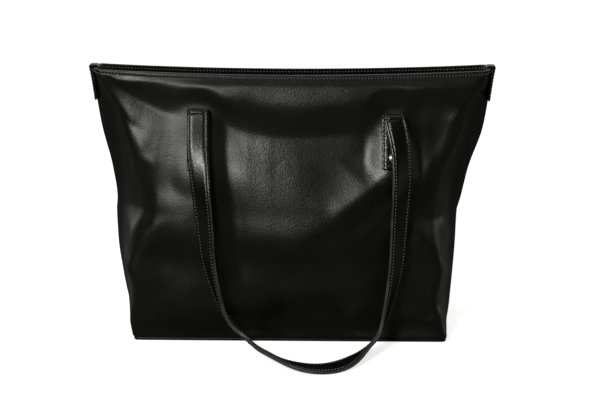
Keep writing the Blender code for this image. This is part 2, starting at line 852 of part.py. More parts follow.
def handle_fixings(walls):
    """Sewn ends, patches and rivets of both handles."""
    for side, face in ((FRONT, "front"), (BACK, "back")):
        for x, hand in ((LEFT_STRAP_X, "left"), (RIGHT_STRAP_X, "right")):
            label = face + "_" + hand
            end = strap_end(label + "_strap_end", side, x)
            strap_fold(label + "_strap_fold", side, x)
            backing = patch(label + "_rivet_patch", side, x)
            for level, where in ((0, "lower"), (1, "upper")):
                height = RIVET_LOW_HEIGHT + level * RIVET_PITCH
                point, normal, across = panel_frame(side, x, height)
                turned(label + "_" + where + "_rivet", rivet_profile(), point, normal, bright_metal())
                cut_rivet_hole([end, walls[side], backing], label + "_" + where + "_hole", point, normal)


ZIP_LEVEL = BAG_HEIGHT - RIM_SAG - ZIP_RECESS


def mouth_inner():
    """Half depth between the facings at the zip's height, less the gap."""
    return face_depth(0.0, ZIP_LEVEL) - FACING_INNER - GAP


def zip_end_x():
    """Where the fixed zip ends stop, just short of the side tabs' inner legs."""
    return abs(tab_path(1)[-1].x) - TAB_THICK - GAP


TAPE_TOP = ZIP_LEVEL - GAP
TAPE_BOTTOM = TAPE_TOP - ZIP_TAPE_THICK
COIL_BOTTOM = TAPE_TOP + GAP
COIL_TOP = COIL_BOTTOM + ZIP_COIL_THICK
ZIP_RIGHT_END = zip_end_x() - ZIP_RIGHT_TAPE
ZIP_LEFT_END = ZIP_LEFT_TAPE - zip_end_x()


def zip_halves():
    """Leather strip, tape and coil on each side of the zip. They swing down together as the zip opens."""
    left = ZIP_LEFT_END
    right = ZIP_RIGHT_END
    for side, label in ((FRONT, "front"), (BACK, "back")):
        edge = mouth_inner()
        empty = axis_empty("zip_" + label + "_axis", (0.0, side * edge, ZIP_LEVEL))

        def band(name, near, far, low, high, material):
            spans = sorted((side * near, side * far))
            block(name, (left, spans[0], low), (right, spans[1], high), material, empty)

        top = ZIP_LEVEL + ZIP_STRIP_THICK
        tape_edge = edge - ZIP_TAPE_LAP
        band(f"zip_{label}_strip", ZIP_STRIP_SLOT, edge, ZIP_LEVEL, top, bag_leather())
        band(f"zip_{label}_tape", ZIP_TAPE_SLOT, tape_edge, TAPE_BOTTOM, TAPE_TOP, zip_cloth())
        band(f"zip_{label}_coil", GAP / 2, ZIP_COIL_HALF_WIDTH, COIL_BOTTOM, COIL_TOP, coil_nylon())


def slider_rest_x():
    """Middle of the slider with the zip shut: its closed half lies on the fixed right-hand chain."""
    return ZIP_RIGHT_END + GAP + SLIDER_LENGTH / 2


def slider_open_x():
    """Middle of the slider with the zip open: it stops on the fixed left-hand chain."""
    return ZIP_LEFT_END - GAP - SLIDER_LENGTH / 2


def zip_ends():
    """Short fixed ends of the zip, sewn shut, that the slider parks on."""
    reach = zip_end_x()
    wide = mouth_inner()
    narrow = TAB_WIDTH / 2
    shoulder = mouth_end_x(wide, ZIP_LEVEL) - smooth_through(CORNER_ROUND, ZIP_LEVEL) - ZIP_END_EASE
    spans = (
        ("zip_right_end", ZIP_RIGHT_END + GAP, reach, slider_rest_x(), 1),
        ("zip_left_end", -reach, ZIP_LEFT_END - GAP, slider_open_x(), -1),
    )
    for name, low_x, high_x, slider_x, sign in spans:
        near = low_x if sign > 0 else high_x
        outline = [(near, -wide), (sign * shoulder, -wide), (sign * reach, -narrow)]
        outline += [(x, -y) for x, y in reversed(outline)]
        rings = [[(x, y, z) for x, y in outline] for z in (TAPE_BOTTOM, TAPE_TOP)]
        tape = loft(name, rings, zip_cloth())
        chain = block(
            name + "_chain",
            (low_x, -ZIP_COIL_HALF_WIDTH, TAPE_BOTTOM + ZIP_TAPE_THICK / 2),
            (slider_x, ZIP_COIL_HALF_WIDTH, COIL_TOP),
            coil_nylon(),
        )
        join_in(tape, chain, "UNION")
        notch_low = slider_x + ZIP_END_REACH
        notch = block(
            name + "_notch",
            (notch_low, -ZIP_TAPE_SLOT, TAPE_BOTTOM - ZIP_TAPE_THICK),
            (notch_low + ZIP_NOTCH_LENGTH, ZIP_TAPE_SLOT, COIL_TOP),
            zip_cloth(),
        )
        join_in(tape, notch, "DIFFERENCE")


SLIDER_BOTTOM = TAPE_BOTTOM - SLIDER_CLEARANCE
SLIDER_TOP = COIL_TOP + SLIDER_CLEARANCE
BRIDGE_HOLE = PULL_BAR + 2 * PULL_CLEARANCE
PULL_PIVOT_Z = SLIDER_TOP + SLIDER_PLATE + PULL_CLEARANCE + PULL_BAR / 2


def zip_slider():
    """Slider body: two plates joined by the divider, with the bridge that holds the pull."""
    x = slider_rest_x()
    empty = axis_empty("zip_slider_axis", (x, 0.0, ZIP_LEVEL))
    half_x = SLIDER_LENGTH / 2
    half_y = SLIDER_WIDTH / 2
    lower = (x - half_x, -half_y, SLIDER_BOTTOM - SLIDER_PLATE)
    upper = (x + half_x, half_y, SLIDER_TOP + SLIDER_PLATE)
    body = block("zip_slider", lower, upper, bright_metal(), empty)
    far = half_x + SLIDER_PLATE
    start = x + half_x - DIVIDER_LENGTH
    for side in (FRONT, BACK):
        spans = sorted((side * DIVIDER_WIDTH / 2, side * (half_y + SLIDER_PLATE)))
        opening = block(
            "slider_channel_" + ("front" if side == FRONT else "back"),
            (start - GAP, spans[0], SLIDER_BOTTOM),
            (x + far, spans[1], SLIDER_TOP),
            bright_metal(),
        )
        join_in(body, opening, "DIFFERENCE")
    chain_way = block(
        "slider_channel",
        (x - far, -half_y - SLIDER_PLATE, SLIDER_BOTTOM),
        (start, half_y + SLIDER_PLATE, SLIDER_TOP),
        bright_metal(),
    )
    join_in(body, chain_way, "DIFFERENCE")
    plate_top = SLIDER_TOP + SLIDER_PLATE
    bridge = block(
        "slider_bridge",
        (x - BRIDGE_LENGTH / 2, -BRIDGE_WIDTH / 2, plate_top - SLIDER_PLATE / 2),
        (x + BRIDGE_LENGTH / 2, BRIDGE_WIDTH / 2, plate_top + BRIDGE_HOLE + BRIDGE_BAR),
        bright_metal(),
    )
    join_in(body, bridge, "UNION")
    hole_half = BRIDGE_LENGTH / 2 - BRIDGE_BAR
    hole = block(
        "slider_bridge_hole",
        (x - hole_half, -BRIDGE_WIDTH, plate_top),
        (x + hole_half, BRIDGE_WIDTH, plate_top + BRIDGE_HOLE),
        bright_metal(),
    )
    join_in(body, hole, "DIFFERENCE")


def zip_pull():
    """Pull with an eye whose cross bar turns under the slider's bridge."""
    x = slider_rest_x()
    empty = axis_empty("zip_pull_axis", (x, 0.0, PULL_PIVOT_Z))
    bar = PULL_BAR / 2
    low = PULL_PIVOT_Z - PULL_THICK / 2
    high = PULL_PIVOT_Z + PULL_THICK / 2
    end = x - PULL_EYE_LENGTH - PULL_LENGTH
    outline = [
        (x + bar, -PULL_EYE_WIDTH / 2 - PULL_BAR),
        (x + bar, PULL_EYE_WIDTH / 2 + PULL_BAR),
        (x - PULL_EYE_LENGTH, PULL_WIDTH / 2),
        (end + PULL_WIDTH / 4, PULL_WIDTH / 2),
        (end, PULL_WIDTH / 4),
        (end, -PULL_WIDTH / 4),
        (end + PULL_WIDTH / 4, -PULL_WIDTH / 2),
        (x - PULL_EYE_LENGTH, -PULL_WIDTH / 2),
    ]
    rings = [[(px, py, z) for px, py in outline] for z in (low, high)]
    pull = loft("zip_pull", rings, bright_metal(), empty)
    eye = block(
        "zip_pull_eye",
        (x - PULL_EYE_LENGTH, -PULL_EYE_WIDTH / 2, low - PULL_THICK),
        (x - bar, PULL_EYE_WIDTH / 2, high + PULL_THICK),
        bright_metal(),
    )
    join_in(pull, eye, "DIFFERENCE")


def build():
    """Makes the whole bag."""
    remove_everything()
    walls = panels()
    facings()
    base()
    lining()
    side_tabs()
    handle_fixings(walls)
    handle(FRONT, "front")
    handle(BACK, "back")
    zip_halves()
    zip_ends()
    zip_slider()
    zip_pull()


build()
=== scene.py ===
"""Soft black leather tote bag, standing with its two long flat handles hanging down in front and behind."""

import math

import bmesh
import bpy
import numpy as np
from bpy.props import FloatProperty, FloatVectorProperty, PointerProperty
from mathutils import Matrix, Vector


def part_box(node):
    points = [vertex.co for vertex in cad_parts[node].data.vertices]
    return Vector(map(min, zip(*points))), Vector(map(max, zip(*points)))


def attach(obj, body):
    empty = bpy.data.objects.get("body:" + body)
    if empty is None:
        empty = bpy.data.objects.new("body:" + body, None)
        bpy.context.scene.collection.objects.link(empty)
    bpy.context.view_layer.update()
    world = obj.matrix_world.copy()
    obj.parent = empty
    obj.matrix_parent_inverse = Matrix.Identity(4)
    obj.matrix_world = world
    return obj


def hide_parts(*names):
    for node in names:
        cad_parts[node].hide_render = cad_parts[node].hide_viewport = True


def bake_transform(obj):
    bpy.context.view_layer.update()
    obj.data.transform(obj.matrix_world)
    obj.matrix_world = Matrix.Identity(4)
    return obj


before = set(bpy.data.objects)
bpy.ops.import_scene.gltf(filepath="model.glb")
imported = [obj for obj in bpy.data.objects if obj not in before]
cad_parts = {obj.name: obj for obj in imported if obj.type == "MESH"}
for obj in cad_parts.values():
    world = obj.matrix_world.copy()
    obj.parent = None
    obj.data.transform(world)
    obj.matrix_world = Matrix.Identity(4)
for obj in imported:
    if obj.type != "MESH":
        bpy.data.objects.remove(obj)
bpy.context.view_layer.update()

bl_info = {
    "name": "Leather tote bag",
    "version": (1, 0, 0),
    "blender": (4, 5, 0),
    "location": "3D View > Sidebar > Tote",
    "description": "Dresses the packed model of a leather tote bag, one piece at a time",
    "category": "Add Mesh",
}

FRONT = -1.0
BACK = 1.0
FACES = ((FRONT, "front"), (BACK, "back"))

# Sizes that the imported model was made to
BAG_HEIGHT = 0.291
RIM_SAG = 0.0065
BASE_THICK = 0.0032
GAP = 0.0003
PANEL_THICK = 0.0016
FACING_THICK = 0.0014
FACING_HEIGHT = 0.032
FACING_INSET = PANEL_THICK + GAP
FACING_INNER = FACING_INSET + FACING_THICK
LINING_INSET = 0.0048
LINING_THICK = 0.0007
LINING_BOTTOM = 0.0058
LINING_LAP = 0.006
PANEL_BOTTOM = BASE_THICK + GAP
STRAP_WIDTH = 0.022
LAYER_THICK = 0.0016
STRAP_THICK = 2 * LAYER_THICK + GAP
STRAP_SPACING = 0.2084
STRAP_SHIFT = 0.0053
STRAP_PLACES = ((STRAP_SHIFT - STRAP_SPACING / 2, "left"), (STRAP_SHIFT + STRAP_SPACING / 2, "right"))
STRAP_OUTER = GAP + STRAP_THICK
FOLD_INNER_RADIUS = 0.0016
FOLD_RADIUS = FOLD_INNER_RADIUS + STRAP_THICK / 2
PIVOT_AHEAD = STRAP_OUTER + FOLD_INNER_RADIUS
FOLD_HEIGHT = 0.2445
RIVET_HEIGHTS = (0.201, 0.2245)
STRAP_END_HEIGHT = 0.187
# How far the sewn ends and folds sit off the model's even ones: aside, the fold upwards, the end upwards
STRAP_SET = {"left": (0.0, 0.0020, 0.0012), "right": (-0.0028, -0.0034, 0.0036)}
# Step over which the slope of the wall is measured
SLOPE_STEP = 0.002
# Rows of stitches: their drop below the rim, their distance from a strap's edge, and how far the thread stands up
STITCH_DROP = 0.0034
STRAP_ROW = STRAP_WIDTH / 2 - 0.0030
THREAD_LIFT = 0.00015

# Stations of the bag's outline: (height, value)
SEAM = {
    -1: ((0.0, 0.1745), (0.02, 0.1815), (0.045, 0.187), (0.07, 0.1905), (0.10, 0.1935), (0.131, 0.1942),
         (0.145, 0.1930), (0.18, 0.1970), (0.227, 0.20725), (0.291, 0.2155)),
    1: ((0.0, 0.1725), (0.02, 0.1755), (0.045, 0.1775), (0.07, 0.1790), (0.10, 0.1805), (0.131, 0.1815),
        (0.145, 0.1850), (0.18, 0.1925), (0.227, 0.20725), (0.291, 0.2155)),
}
SIDE_SET = {
    -1: ((0.0, 0.003), (0.015, 0.006), (0.03, 0.012), (0.045, 0.018), (0.06, 0.020), (0.08, 0.014), (0.10, 0.022),
         (0.12, 0.030), (0.145, 0.044), (0.227, 0.030), (0.291, 0.007)),
    1: ((0.0, 0.003), (0.03, 0.012), (0.045, 0.018), (0.06, 0.016), (0.08, 0.012), (0.10, 0.018), (0.12, 0.028),
        (0.145, 0.040), (0.227, 0.030), (0.291, 0.007)),
}
HALF_DEPTH = ((0.0, 0.063), (0.085, 0.067), (0.145, 0.062), (0.227, 0.035), (0.263, 0.0235), (0.291, 0.019))
CORNER_ROUND = ((0.0, 0.006), (0.03, 0.010), (0.10, 0.018), (0.145, 0.024), (0.227, 0.014), (0.291, 0.004))
CROWN = ((0.0, 0.0), (0.045, 0.003), (0.145, 0.005), (0.263, 0.0), (0.291, 0.0))


def through(stations, where):
    """Values at some places of a smooth curve through (place, value) stations that never overshoots them."""
    places, values = np.array(stations, dtype=float).T
    steps = np.diff(places)
    slopes = np.diff(values) / steps
    before, after = slopes[:-1], slopes[1:]
    rising = before * after > 0.0
    middle = np.where(rising, 2.0 * before * after / np.where(rising, before + after, 1.0), 0.0)
    tangents = np.concatenate([slopes[:1], middle, slopes[-1:]])
    where = np.clip(where, places[0], places[-1])
    i = np.clip(np.searchsorted(places, where) - 1, 0, len(steps) - 1)
    t = (where - places[i]) / steps[i]
    start = (1.0 + 2.0 * t) * (1.0 - t) ** 2 * values[i] + t * (1.0 - t) ** 2 * steps[i] * tangents[i]
    end = t * t * (3.0 - 2.0 * t) * values[i + 1] + t * t * (t - 1.0) * steps[i] * tangents[i + 1]
    return start + end


def smoothstep(low, high, where):
    """Smooth ramp from 0 at low to 1 at high."""
    t = np.clip((where - low) / (high - low), 0.0, 1.0)
    return t * t * (3.0 - 2.0 * t)


# Heights and shares of a panel's half width at which its surface is worked out
TABLE_HEIGHTS = np.linspace(0.0, BAG_HEIGHT, 146)
TABLE_SHARES = np.linspace(0.0, 1.0, 151)


def quarter(hand, height):
    """Quarter of the bag's outline at one height, sampled evenly from the middle of the face to the seam."""
    seam = float(through(SEAM[hand], height))
    inset = float(through(SIDE_SET[hand], height))
    depth = float(through(HALF_DEPTH, height))
    crown = float(through(CROWN, height))
    rounding = float(through(CORNER_ROUND, height))
    corner = np.array((seam - inset, depth))
    down_side = np.array((seam, 0.0)) - corner
    down_side /= np.linalg.norm(down_side)
    across = np.linspace(0.0, corner[0] - rounding, 40)
    face = np.stack([across, depth + crown * (1.0 - (across / corner[0]) ** 2)], axis=1)
    start, end = face[-1], corner + down_side * rounding
    t = np.linspace(0.0, 1.0, 24)[1:, None]
    bend = start * (1 - t) ** 2 + corner * 2 * t * (1 - t) + end * t * t
    side = end + (np.array((seam, 0.0)) - end) * np.linspace(0.0, 1.0, 20)[1:, None]
    points = np.concatenate([face, bend, side])
    lengths = np.concatenate([[0.0], np.cumsum(np.linalg.norm(np.diff(points, axis=0), axis=1))])
    lengths /= lengths[-1]
    return np.stack([np.interp(TABLE_SHARES, lengths, points[:, k]) for k in (0, 1)], axis=1)


def plain_skin(side):
    """Outer surface of one panel before its folds: rows go up, columns run from the left seam to the right one."""
    rows = []
    for height in TABLE_HEIGHTS:
        left, right = quarter(-1, height), quarter(1, height)
        xy = np.concatenate([left[::-1] * (-1.0, side), right[1:] * (1.0, side)])
        rows.append(np.column_stack([xy, np.full(len(xy), height)]))
    return np.array(rows)


def rim_height(along):
    """Height of the rim, which sags between the side seams."""
    return BAG_HEIGHT - RIM_SAG * (1.0 - along * along)


# Lie of the front leather, in mm. It tucks in under the rim and turns out again along a hanging line: (across, height)
HANGING_LINE = (
    (-207, 297), (-189, 275.8), (-160, 256.5), (-127, 243.5), (-99, 242), (-75, 235.1), (-38, 223.2),
    (4, 220.2), (46, 222.5), (75, 225), (105, 232), (145, 248.5), (175, 246.5), (208, 249.6),
)
# Depth of the tuck, swell above it, and length over which it comes out again below: (across, value)
TUCK = (
    (-207, 1.2), (-180, 1.9), (-155, 3.6), (-130, 4.6), (-105, 5.6), (-75, 8), (-45, 3.2), (-15, 4.8),
    (15, 6.5), (45, 6.3), (75, 5), (105, 3), (130, 2.4), (155, 1.4), (180, 0.6), (207, 7.5),
)
LIP = (
    (-200, 1.8), (-150, 0.6), (-100, 0.7), (-50, 3.8), (0, 4), (50, 4), (100, 4), (150, 1.3), (200, 0.8),
)
REACH = (
    (-200, 17), (-175, 20), (-150, 36), (-100, 43.9), (-50, 32.4), (0, 44.1), (50, 46.8), (100, 39.7), (150, 35.8),
    (200, 45.1),
)
# How sharply it comes out below the line, and over what share of the way to the rim it does so above: (across, value)
SHARPNESS = (
    (-200, 0.95), (-175, 0.95), (-150, 1.0), (-100, 1.2), (-50, 1.72), (0, 1.96), (50, 2.01), (100, 1.71), (150, 1.4),
    (200, 1.31),
)
ABOVE = (
    (-200, 0.85), (-150, 0.74), (-100, 0.62), (-50, 0.45), (0, 0.42), (50, 0.41), (100, 0.44), (150, 0.6),
    (200, 0.59),
)
# Ease of the middle by height, bow of the whole face across it, and the share of the bow at each height
EASE = (
    (0, -7.8), (30, 1.7), (60, -1.1), (90, -5.6), (120, -1.4), (150, -3.5), (180, -3), (210, -1.1), (240, 1.5),
    (270, 2.9),
)
BOW = (
    (-200, -5), (-170, -0.5), (-140, -0.4), (-110, 1.5), (-80, 2.6), (-50, -1.3), (-20, 1.2), (10, 2.8),
    (40, 1.8), (70, 0.4), (100, -2.2), (130, -4.4), (160, -3.7), (200, -5),
)
BOW_SHARE = (
    (0, 0.6), (50, 0.9), (100, 1.2), (150, 1.03), (200, 1.28), (250, 0.4), (285, -0.3),
)
# Swells: outwards, across, height, half width, half height
SWELLS = (
    (2, -57, 187, 24, 25),
    (-1.6, 7, 165, 62, 30),
    (-1.6, 53, 174, 28, 29),
    (2.6, 12, 102, 64, 27),
    (0.9, -134, 220, 20, 30),
    (-2.2, -147, 169, 23, 16),
    (-2.2, -132, 115, 27, 34),
    (2.6, -98, 50, 33, 41),
    (1.3, -177, 38, 16, 24),
    (-2.2, 155, 205, 13, 33),
    (2.6, 161, 140, 18, 18),
    (2.6, 124, 96, 23, 25),
    (-2.2, 131, 41, 41, 29),
    (0.8, 136, 235, 21, 17),
    (-2.2, 7, 31, 55, 23),
    (2.6, -160, 281, 33, 7),
    (2.6, 156, 272, 37, 8),
    (-0.4, 78, 197, 14, 23),
)
# Folds: outwards, half width, and the line through (across, height)
FRONT_FOLDS = (
    (0.8, 9, ((-198, 236), (-188, 228), (-177, 219), (-166, 210), (-156, 202))),
    (-1.2, 7, ((-203, 262), (-196, 245), (-189, 229), (-183, 213), (-178, 193), (-176, 181),
          (-169, 167), (-163, 155), (-160, 147))),
    (1.0, 6.3, ((-158, 146), (-164, 132), (-171, 122), (-176, 106), (-181, 90), (-187, 66))),
    (0.9, 5.8, ((-175, 197), (-161, 197), (-147, 195), (-138, 191))),
    (1.5, 16.4, ((-160, 158), (-146, 160), (-130, 156), (-112, 142), (-98, 126))),
    (1.7, 13.8, ((-158, 138), (-140, 138), (-122, 124), (-108, 108))),
    (-0.9, 13.7, ((-166, 205), (-149, 180), (-122, 165), (-102, 140))),
    (1.2, 7, ((-168, 24), (-155, 22), (-138, 26))),
    (-1.4, 22.4, ((-150, 110), (-139, 82), (-125, 48))),
    (-3.9, 10, ((-84, 240), (-75, 213), (-69, 189), (-65, 169), (-61, 138), (-58, 106), (-49, 66))),
    (-1.2, 9, ((110, 176), (86, 149), (62, 126), (37, 112), (11, 102))),
    (1.5, 19, ((92, 190), (66, 162), (40, 142), (8, 130))),
    (-0.8, 11, ((96, 227), (78, 209), (57, 189))),
    (2.3, 9.9, ((103, 183), (84, 169), (62, 153), (36, 134))),
    (-1.9, 9.8, ((126, 241), (130, 219), (137, 195), (141, 159), (137, 118))),
    (0.8, 5.6, ((208, 255), (196, 251), (185, 247), (173, 241), (160, 236))),
    (1.6, 10, ((190, 243), (181, 223), (171, 203), (163, 183))),
    (-1.6, 9.7, ((189, 183), (182, 171), (180, 155), (178, 138))),
    (-0.5, 6.8, ((172, 190), (170, 170), (168, 150))),
    (1.4, 9.5, ((163, 136), (167, 122), (175, 106), (178, 90))),
    (1.6, 8, ((175, 78), (172, 52), (166, 42), (169, 28))),
    (1.7, 6.2, ((148, 30), (157, 18), (166, 10))),
    (1.3, 14.7, ((-60, 72), (0, 62), (60, 70), (110, 84))),
    (-1.4, 13.8, ((-120, 24), (-40, 20), (40, 20), (120, 24))),
    (3.1, 14.4, ((-150, 272), (-80, 268), (0, 266), (80, 268), (150, 272))),
)
# Creases: depth, how far it comes out again below and above, and the line from left to right through (across, height)
CREASES = (
    (1.0, 40, 11, ((-206, 290), (-196, 282), (-187, 275), (-174, 267), (-160, 259), (-147, 251), (-133, 247),
                   (-112, 244))),
    (2.3, 40, 7.5, ((-207, 262), (-196, 252), (-185, 244), (-174, 236), (-162, 229), (-150, 224))),
    (0.6, 12, 19, ((-84, 238), (-60, 232), (-38, 226), (-10, 221), (20, 222), (50, 228), (78, 236))),
    (0.6, 10, 12, ((196, 214), (186, 196), (178, 176), (172, 156), (168, 142))),
)
BACK_FOLDS = (
    (2.4, 6.0, ((206, 285), (196, 272), (182, 263), (160, 254), (132, 245))),
    (-3.2, 7.0, ((198, 260), (182, 252), (164, 244), (144, 236))),
    (-2.8, 4.0, ((208, 250), (198, 230), (186, 208), (176, 184), (168, 160), (160, 144))),
    (2.2, 6.0, ((163, 140), (172, 118), (177, 96), (178, 74))),
    (2.2, 5.0, ((-205, 284), (-196, 270), (-180, 261), (-158, 252), (-126, 243))),
    (-2.8, 4.0, ((-208, 250), (-200, 232), (-188, 208), (-180, 186), (-172, 160), (-162, 142))),
    (2.4, 6.0, ((-164, 138), (-174, 116), (-182, 96), (-186, 72))),
    (-2.4, 9.0, ((-96, 232), (-78, 212), (-60, 190), (-40, 168))),
    (1.8, 10.0, ((-112, 182), (-84, 158), (-50, 134), (-10, 118))),
    (-2.4, 8.0, ((86, 238), (78, 212), (70, 178), (64, 144), (58, 104))),
    (-2.0, 9.0, ((-126, 232), (-136, 200), (-138, 160), (-130, 116))),
    (1.8, 9.0, ((140, 234), (138, 218), (134, 200))),
    (1.6, 12.0, ((158, 156), (136, 144), (104, 126))),
    (-1.4, 11.0, ((-60, 84), (0, 70), (54, 80))),
)


# Where the folds fade out: below the rim, above the base, beside the seams and round the sewn strap ends
RIM_FADE = (0.289, 0.272)
BASE_FADE = (0.0035, 0.022)
SEAM_FADE = 0.018
STRAP_FADE = 0.028
# Share of the half width over which they fade beside the seams too, and the flat place round a sewn strap end
SEAM_SHARE = 0.03
FLAT_ASIDE = 0.0040
FLAT_HEIGHTS = (0.186, 0.2465)


def station(rows, where, scale=(0.001, 0.001)):
    """Values at some places of stations that are given in mm."""
    return through(np.array(rows, dtype=float) * scale, where)


def lie(x, z):
    """How the slack leather moves the wall outwards: tucked in under the rim, swelling out below a hanging line."""
    line = station(HANGING_LINE, x)
    t = (z - line) / np.maximum(RIM_FADE[0] - line, 0.006)
    above = 1.0 - smoothstep(0.0, 1.0, t / station(ABOVE, x, (0.001, 1.0)))
    below = np.maximum(line - z, 1e-6) / station(REACH, x)
    below = np.exp(-below ** station(SHARPNESS, x, (0.001, 1.0)))
    relief = -station(TUCK, x) * np.where(z > line, above, below)
    relief += station(LIP, x) * np.exp(-((t - 0.44) / 0.23) ** 2)
    relief += station(EASE, z) * smoothstep(0.20, 0.12, np.abs(x))
    return relief + station(BOW, x) * station(BOW_SHARE, z, (0.001, 1.0))


def swells(x, z):
    """Broad swells and hollows of the wall."""
    relief = np.zeros(len(x))
    for height, across, up, half_width, half_height in SWELLS:
        reach = ((x * 1000.0 - across) / half_width) ** 2 + ((z * 1000.0 - up) / half_height) ** 2
        relief += height / 1000.0 * np.exp(-reach)
    return relief


def strap_end_mask(x, z):
    """0 where a strap is sewn on, so that the wall stays flat there, and 1 well away from it."""
    beside = np.full(len(x), 1.0)
    for place, hand in STRAP_PLACES:
        beside = np.minimum(beside, np.abs(x - place - STRAP_SET[hand][0] / 2))
    beside = np.maximum(beside - FLAT_ASIDE, 0.0)
    beyond = np.maximum(np.maximum(FLAT_HEIGHTS[0] - z, z - FLAT_HEIGHTS[1]), 0.0)
    return smoothstep(0.0, STRAP_FADE, np.hypot(beside, beyond))


def beside_line(side, points, line):
    """Distance of each point from a line on the wall, how far along the line it lies, and if it lies above it."""
    line = np.array(line, dtype=float) / 1000.0
    knots = np.concatenate([[0.0], np.cumsum(np.linalg.norm(np.diff(line, axis=0), axis=1))])
    where = np.linspace(0.0, knots[-1], max(8, int(knots[-1] / 0.004)))
    lx = through(np.column_stack([knots, line[:, 0]]), where)
    lz = through(np.column_stack([knots, line[:, 1]]), where)
    places = np.array([on_wall(PLAIN_SKIN[side], a, b) for a, b in zip(lx, lz)])
    starts, spans = places[:-1], np.diff(places, axis=0)
    best = np.full(len(points), 1e9)
    share = np.zeros(len(points))
    above = np.zeros(len(points), bool)
    for k, (start, span) in enumerate(zip(starts, spans)):
        away = points - start
        t = np.clip(away @ span / (span @ span), 0.0, 1.0)
        distance = np.linalg.norm(away - t[:, None] * span, axis=1)
        nearer = distance < best
        best = np.where(nearer, distance, best)
        share = np.where(nearer, (k + t) / len(spans), share)
        above = np.where(nearer, away[:, 2] * span[0] > away[:, 0] * span[2], above)
    return best, smoothstep(0.0, 0.22, share) * smoothstep(0.0, 0.30, 1.0 - share), above


def folds(side, points, lines):
    """How far the folds and creases move each point of the wall outwards."""
    x, z = points[:, 0], points[:, 2]
    relief = lie(x, z) + swells(x, z) * (1.0 if side == FRONT else 0.5)
    for height, width, line in lines:
        away, taper, above = beside_line(side, points, line)
        relief += height / 1000.0 * np.exp(-0.7 * (away / (width / 1000.0)) ** 2) * taper
    for depth, below_reach, above_reach, line in CREASES if side == FRONT else ():
        away, taper, above = beside_line(side, points, line)
        away = np.sqrt(away ** 2 + 0.0012 ** 2) - 0.0012
        relief -= depth / 1000.0 * np.exp(-away / (np.where(above, above_reach, below_reach) / 1000.0)) * taper
    return relief


def on_wall(rows, x, z):
    """Point of the wall at one place across and one height."""
    row = rows[int(round(np.clip(z / BAG_HEIGHT, 0, 1) * (len(rows) - 1)))]
    return np.array((x, np.interp(x, row[:, 0], row[:, 1]), z))


def unevenness(points, seed):
    """Soft uneven swell of worn leather, from a few crossed waves."""
    chance = np.random.default_rng(seed)
    total = np.zeros(len(points))
    for _ in range(14):
        direction = chance.normal(size=3)
        direction /= np.linalg.norm(direction)
        length = chance.uniform(0.035, 0.11)
        phase = chance.uniform(0.0, 2.0 * math.pi)
        total += length * np.sin(points @ direction * 2.0 * math.pi / length + phase)
    return total * 0.0011


PLAIN_SKIN = {side: plain_skin(side) for side, face in FACES}


def normals_of(grid, side):
    """Outward unit normals of a grid of points."""
    across = np.gradient(grid, axis=1)
    up = np.gradient(grid, axis=0)
    normal = np.cross(across, up) * -side if side == BACK else np.cross(across, up)
    return normal / np.linalg.norm(normal, axis=2, keepdims=True)


def creased_skin(side):
    """Outer surface of one panel with its folds, and its normals."""
    grid = PLAIN_SKIN[side]
    flat = grid.reshape(-1, 3)
    normal = normals_of(grid, side)
    x, z = flat[:, 0], flat[:, 2]
    relief = folds(side, flat, FRONT_FOLDS if side == FRONT else BACK_FOLDS)
    relief += 0.5 * unevenness(flat, 11 if side == FRONT else 12)
    relief *= strap_end_mask(x, z) * smoothstep(*RIM_FADE, z) * smoothstep(*BASE_FADE, z)
    columns = grid.shape[1]
    from_seam = np.tile(1.0 - np.abs(np.linspace(-1, 1, columns)), len(grid))
    relief *= smoothstep(0.0, SEAM_SHARE, from_seam) * smoothstep(0.0, SEAM_FADE, np.abs(flat[:, 1]))
    made = grid + normal * relief.reshape(grid.shape[:2])[..., None]
    return made, normals_of(made, side)


SKIN = {side: creased_skin(side) for side, face in FACES}


def sample(grid, u, v):
    """Smooth interpolation of a grid at fractional rows u and columns v."""
    result = 0.0
    row = np.clip(u.astype(int), 0, grid.shape[0] - 2)
    column = np.clip(v.astype(int), 0, grid.shape[1] - 2)
    a, b = u - row, v - column

    def weights(t):
        t2, t3 = t * t, t * t * t
        return (-0.5 * t3 + t2 - 0.5 * t, 1.5 * t3 - 2.5 * t2 + 1.0, -1.5 * t3 + 2 * t2 + 0.5 * t, 0.5 * t3 - 0.5 * t2)

    for i, wu in enumerate(weights(a)):
        r = np.clip(row + i - 1, 0, grid.shape[0] - 1)
        for j, wv in enumerate(weights(b)):
            c = np.clip(column + j - 1, 0, grid.shape[1] - 1)
            result = result + (wu * wv)[..., None] * grid[r, c]
    return result


def skin(side, along, height, inset=0.0):
    """Points of the wall and its normals. along runs from -1 at the left seam to 1 at the right one."""
    along, height = np.broadcast_arrays(np.asarray(along, float), np.asarray(height, float))
    points, normals = SKIN[side]
    u = np.clip(height / BAG_HEIGHT, 0.0, 1.0) * (len(points) - 1)
    v = (np.clip(along, -1.0, 1.0) + 1.0) / 2.0 * (points.shape[1] - 1)
    place = sample(points, u, v)
    normal = sample(normals, u, v)
    normal /= np.linalg.norm(normal, axis=-1, keepdims=True)
    level = normal * (1.0, 1.0, 0.0)
    level /= np.sum(level ** 2, axis=-1, keepdims=True)
    place = place - level * np.asarray(inset, float)[..., None]
    place[..., 1] = side * np.maximum(place[..., 1] * side, GAP / 2)
    return place, normal


def placed(name, data):
    """New object in the scene."""
    thing = bpy.data.objects.new(name, data)
    bpy.context.scene.collection.objects.link(thing)
    return thing


def smoothed(mesh, angle):
    """Smooth shading that keeps the edges sharper than an angle in degrees."""
    mesh.shade_smooth()
    mesh.set_sharp_from_angle(angle=math.radians(angle))


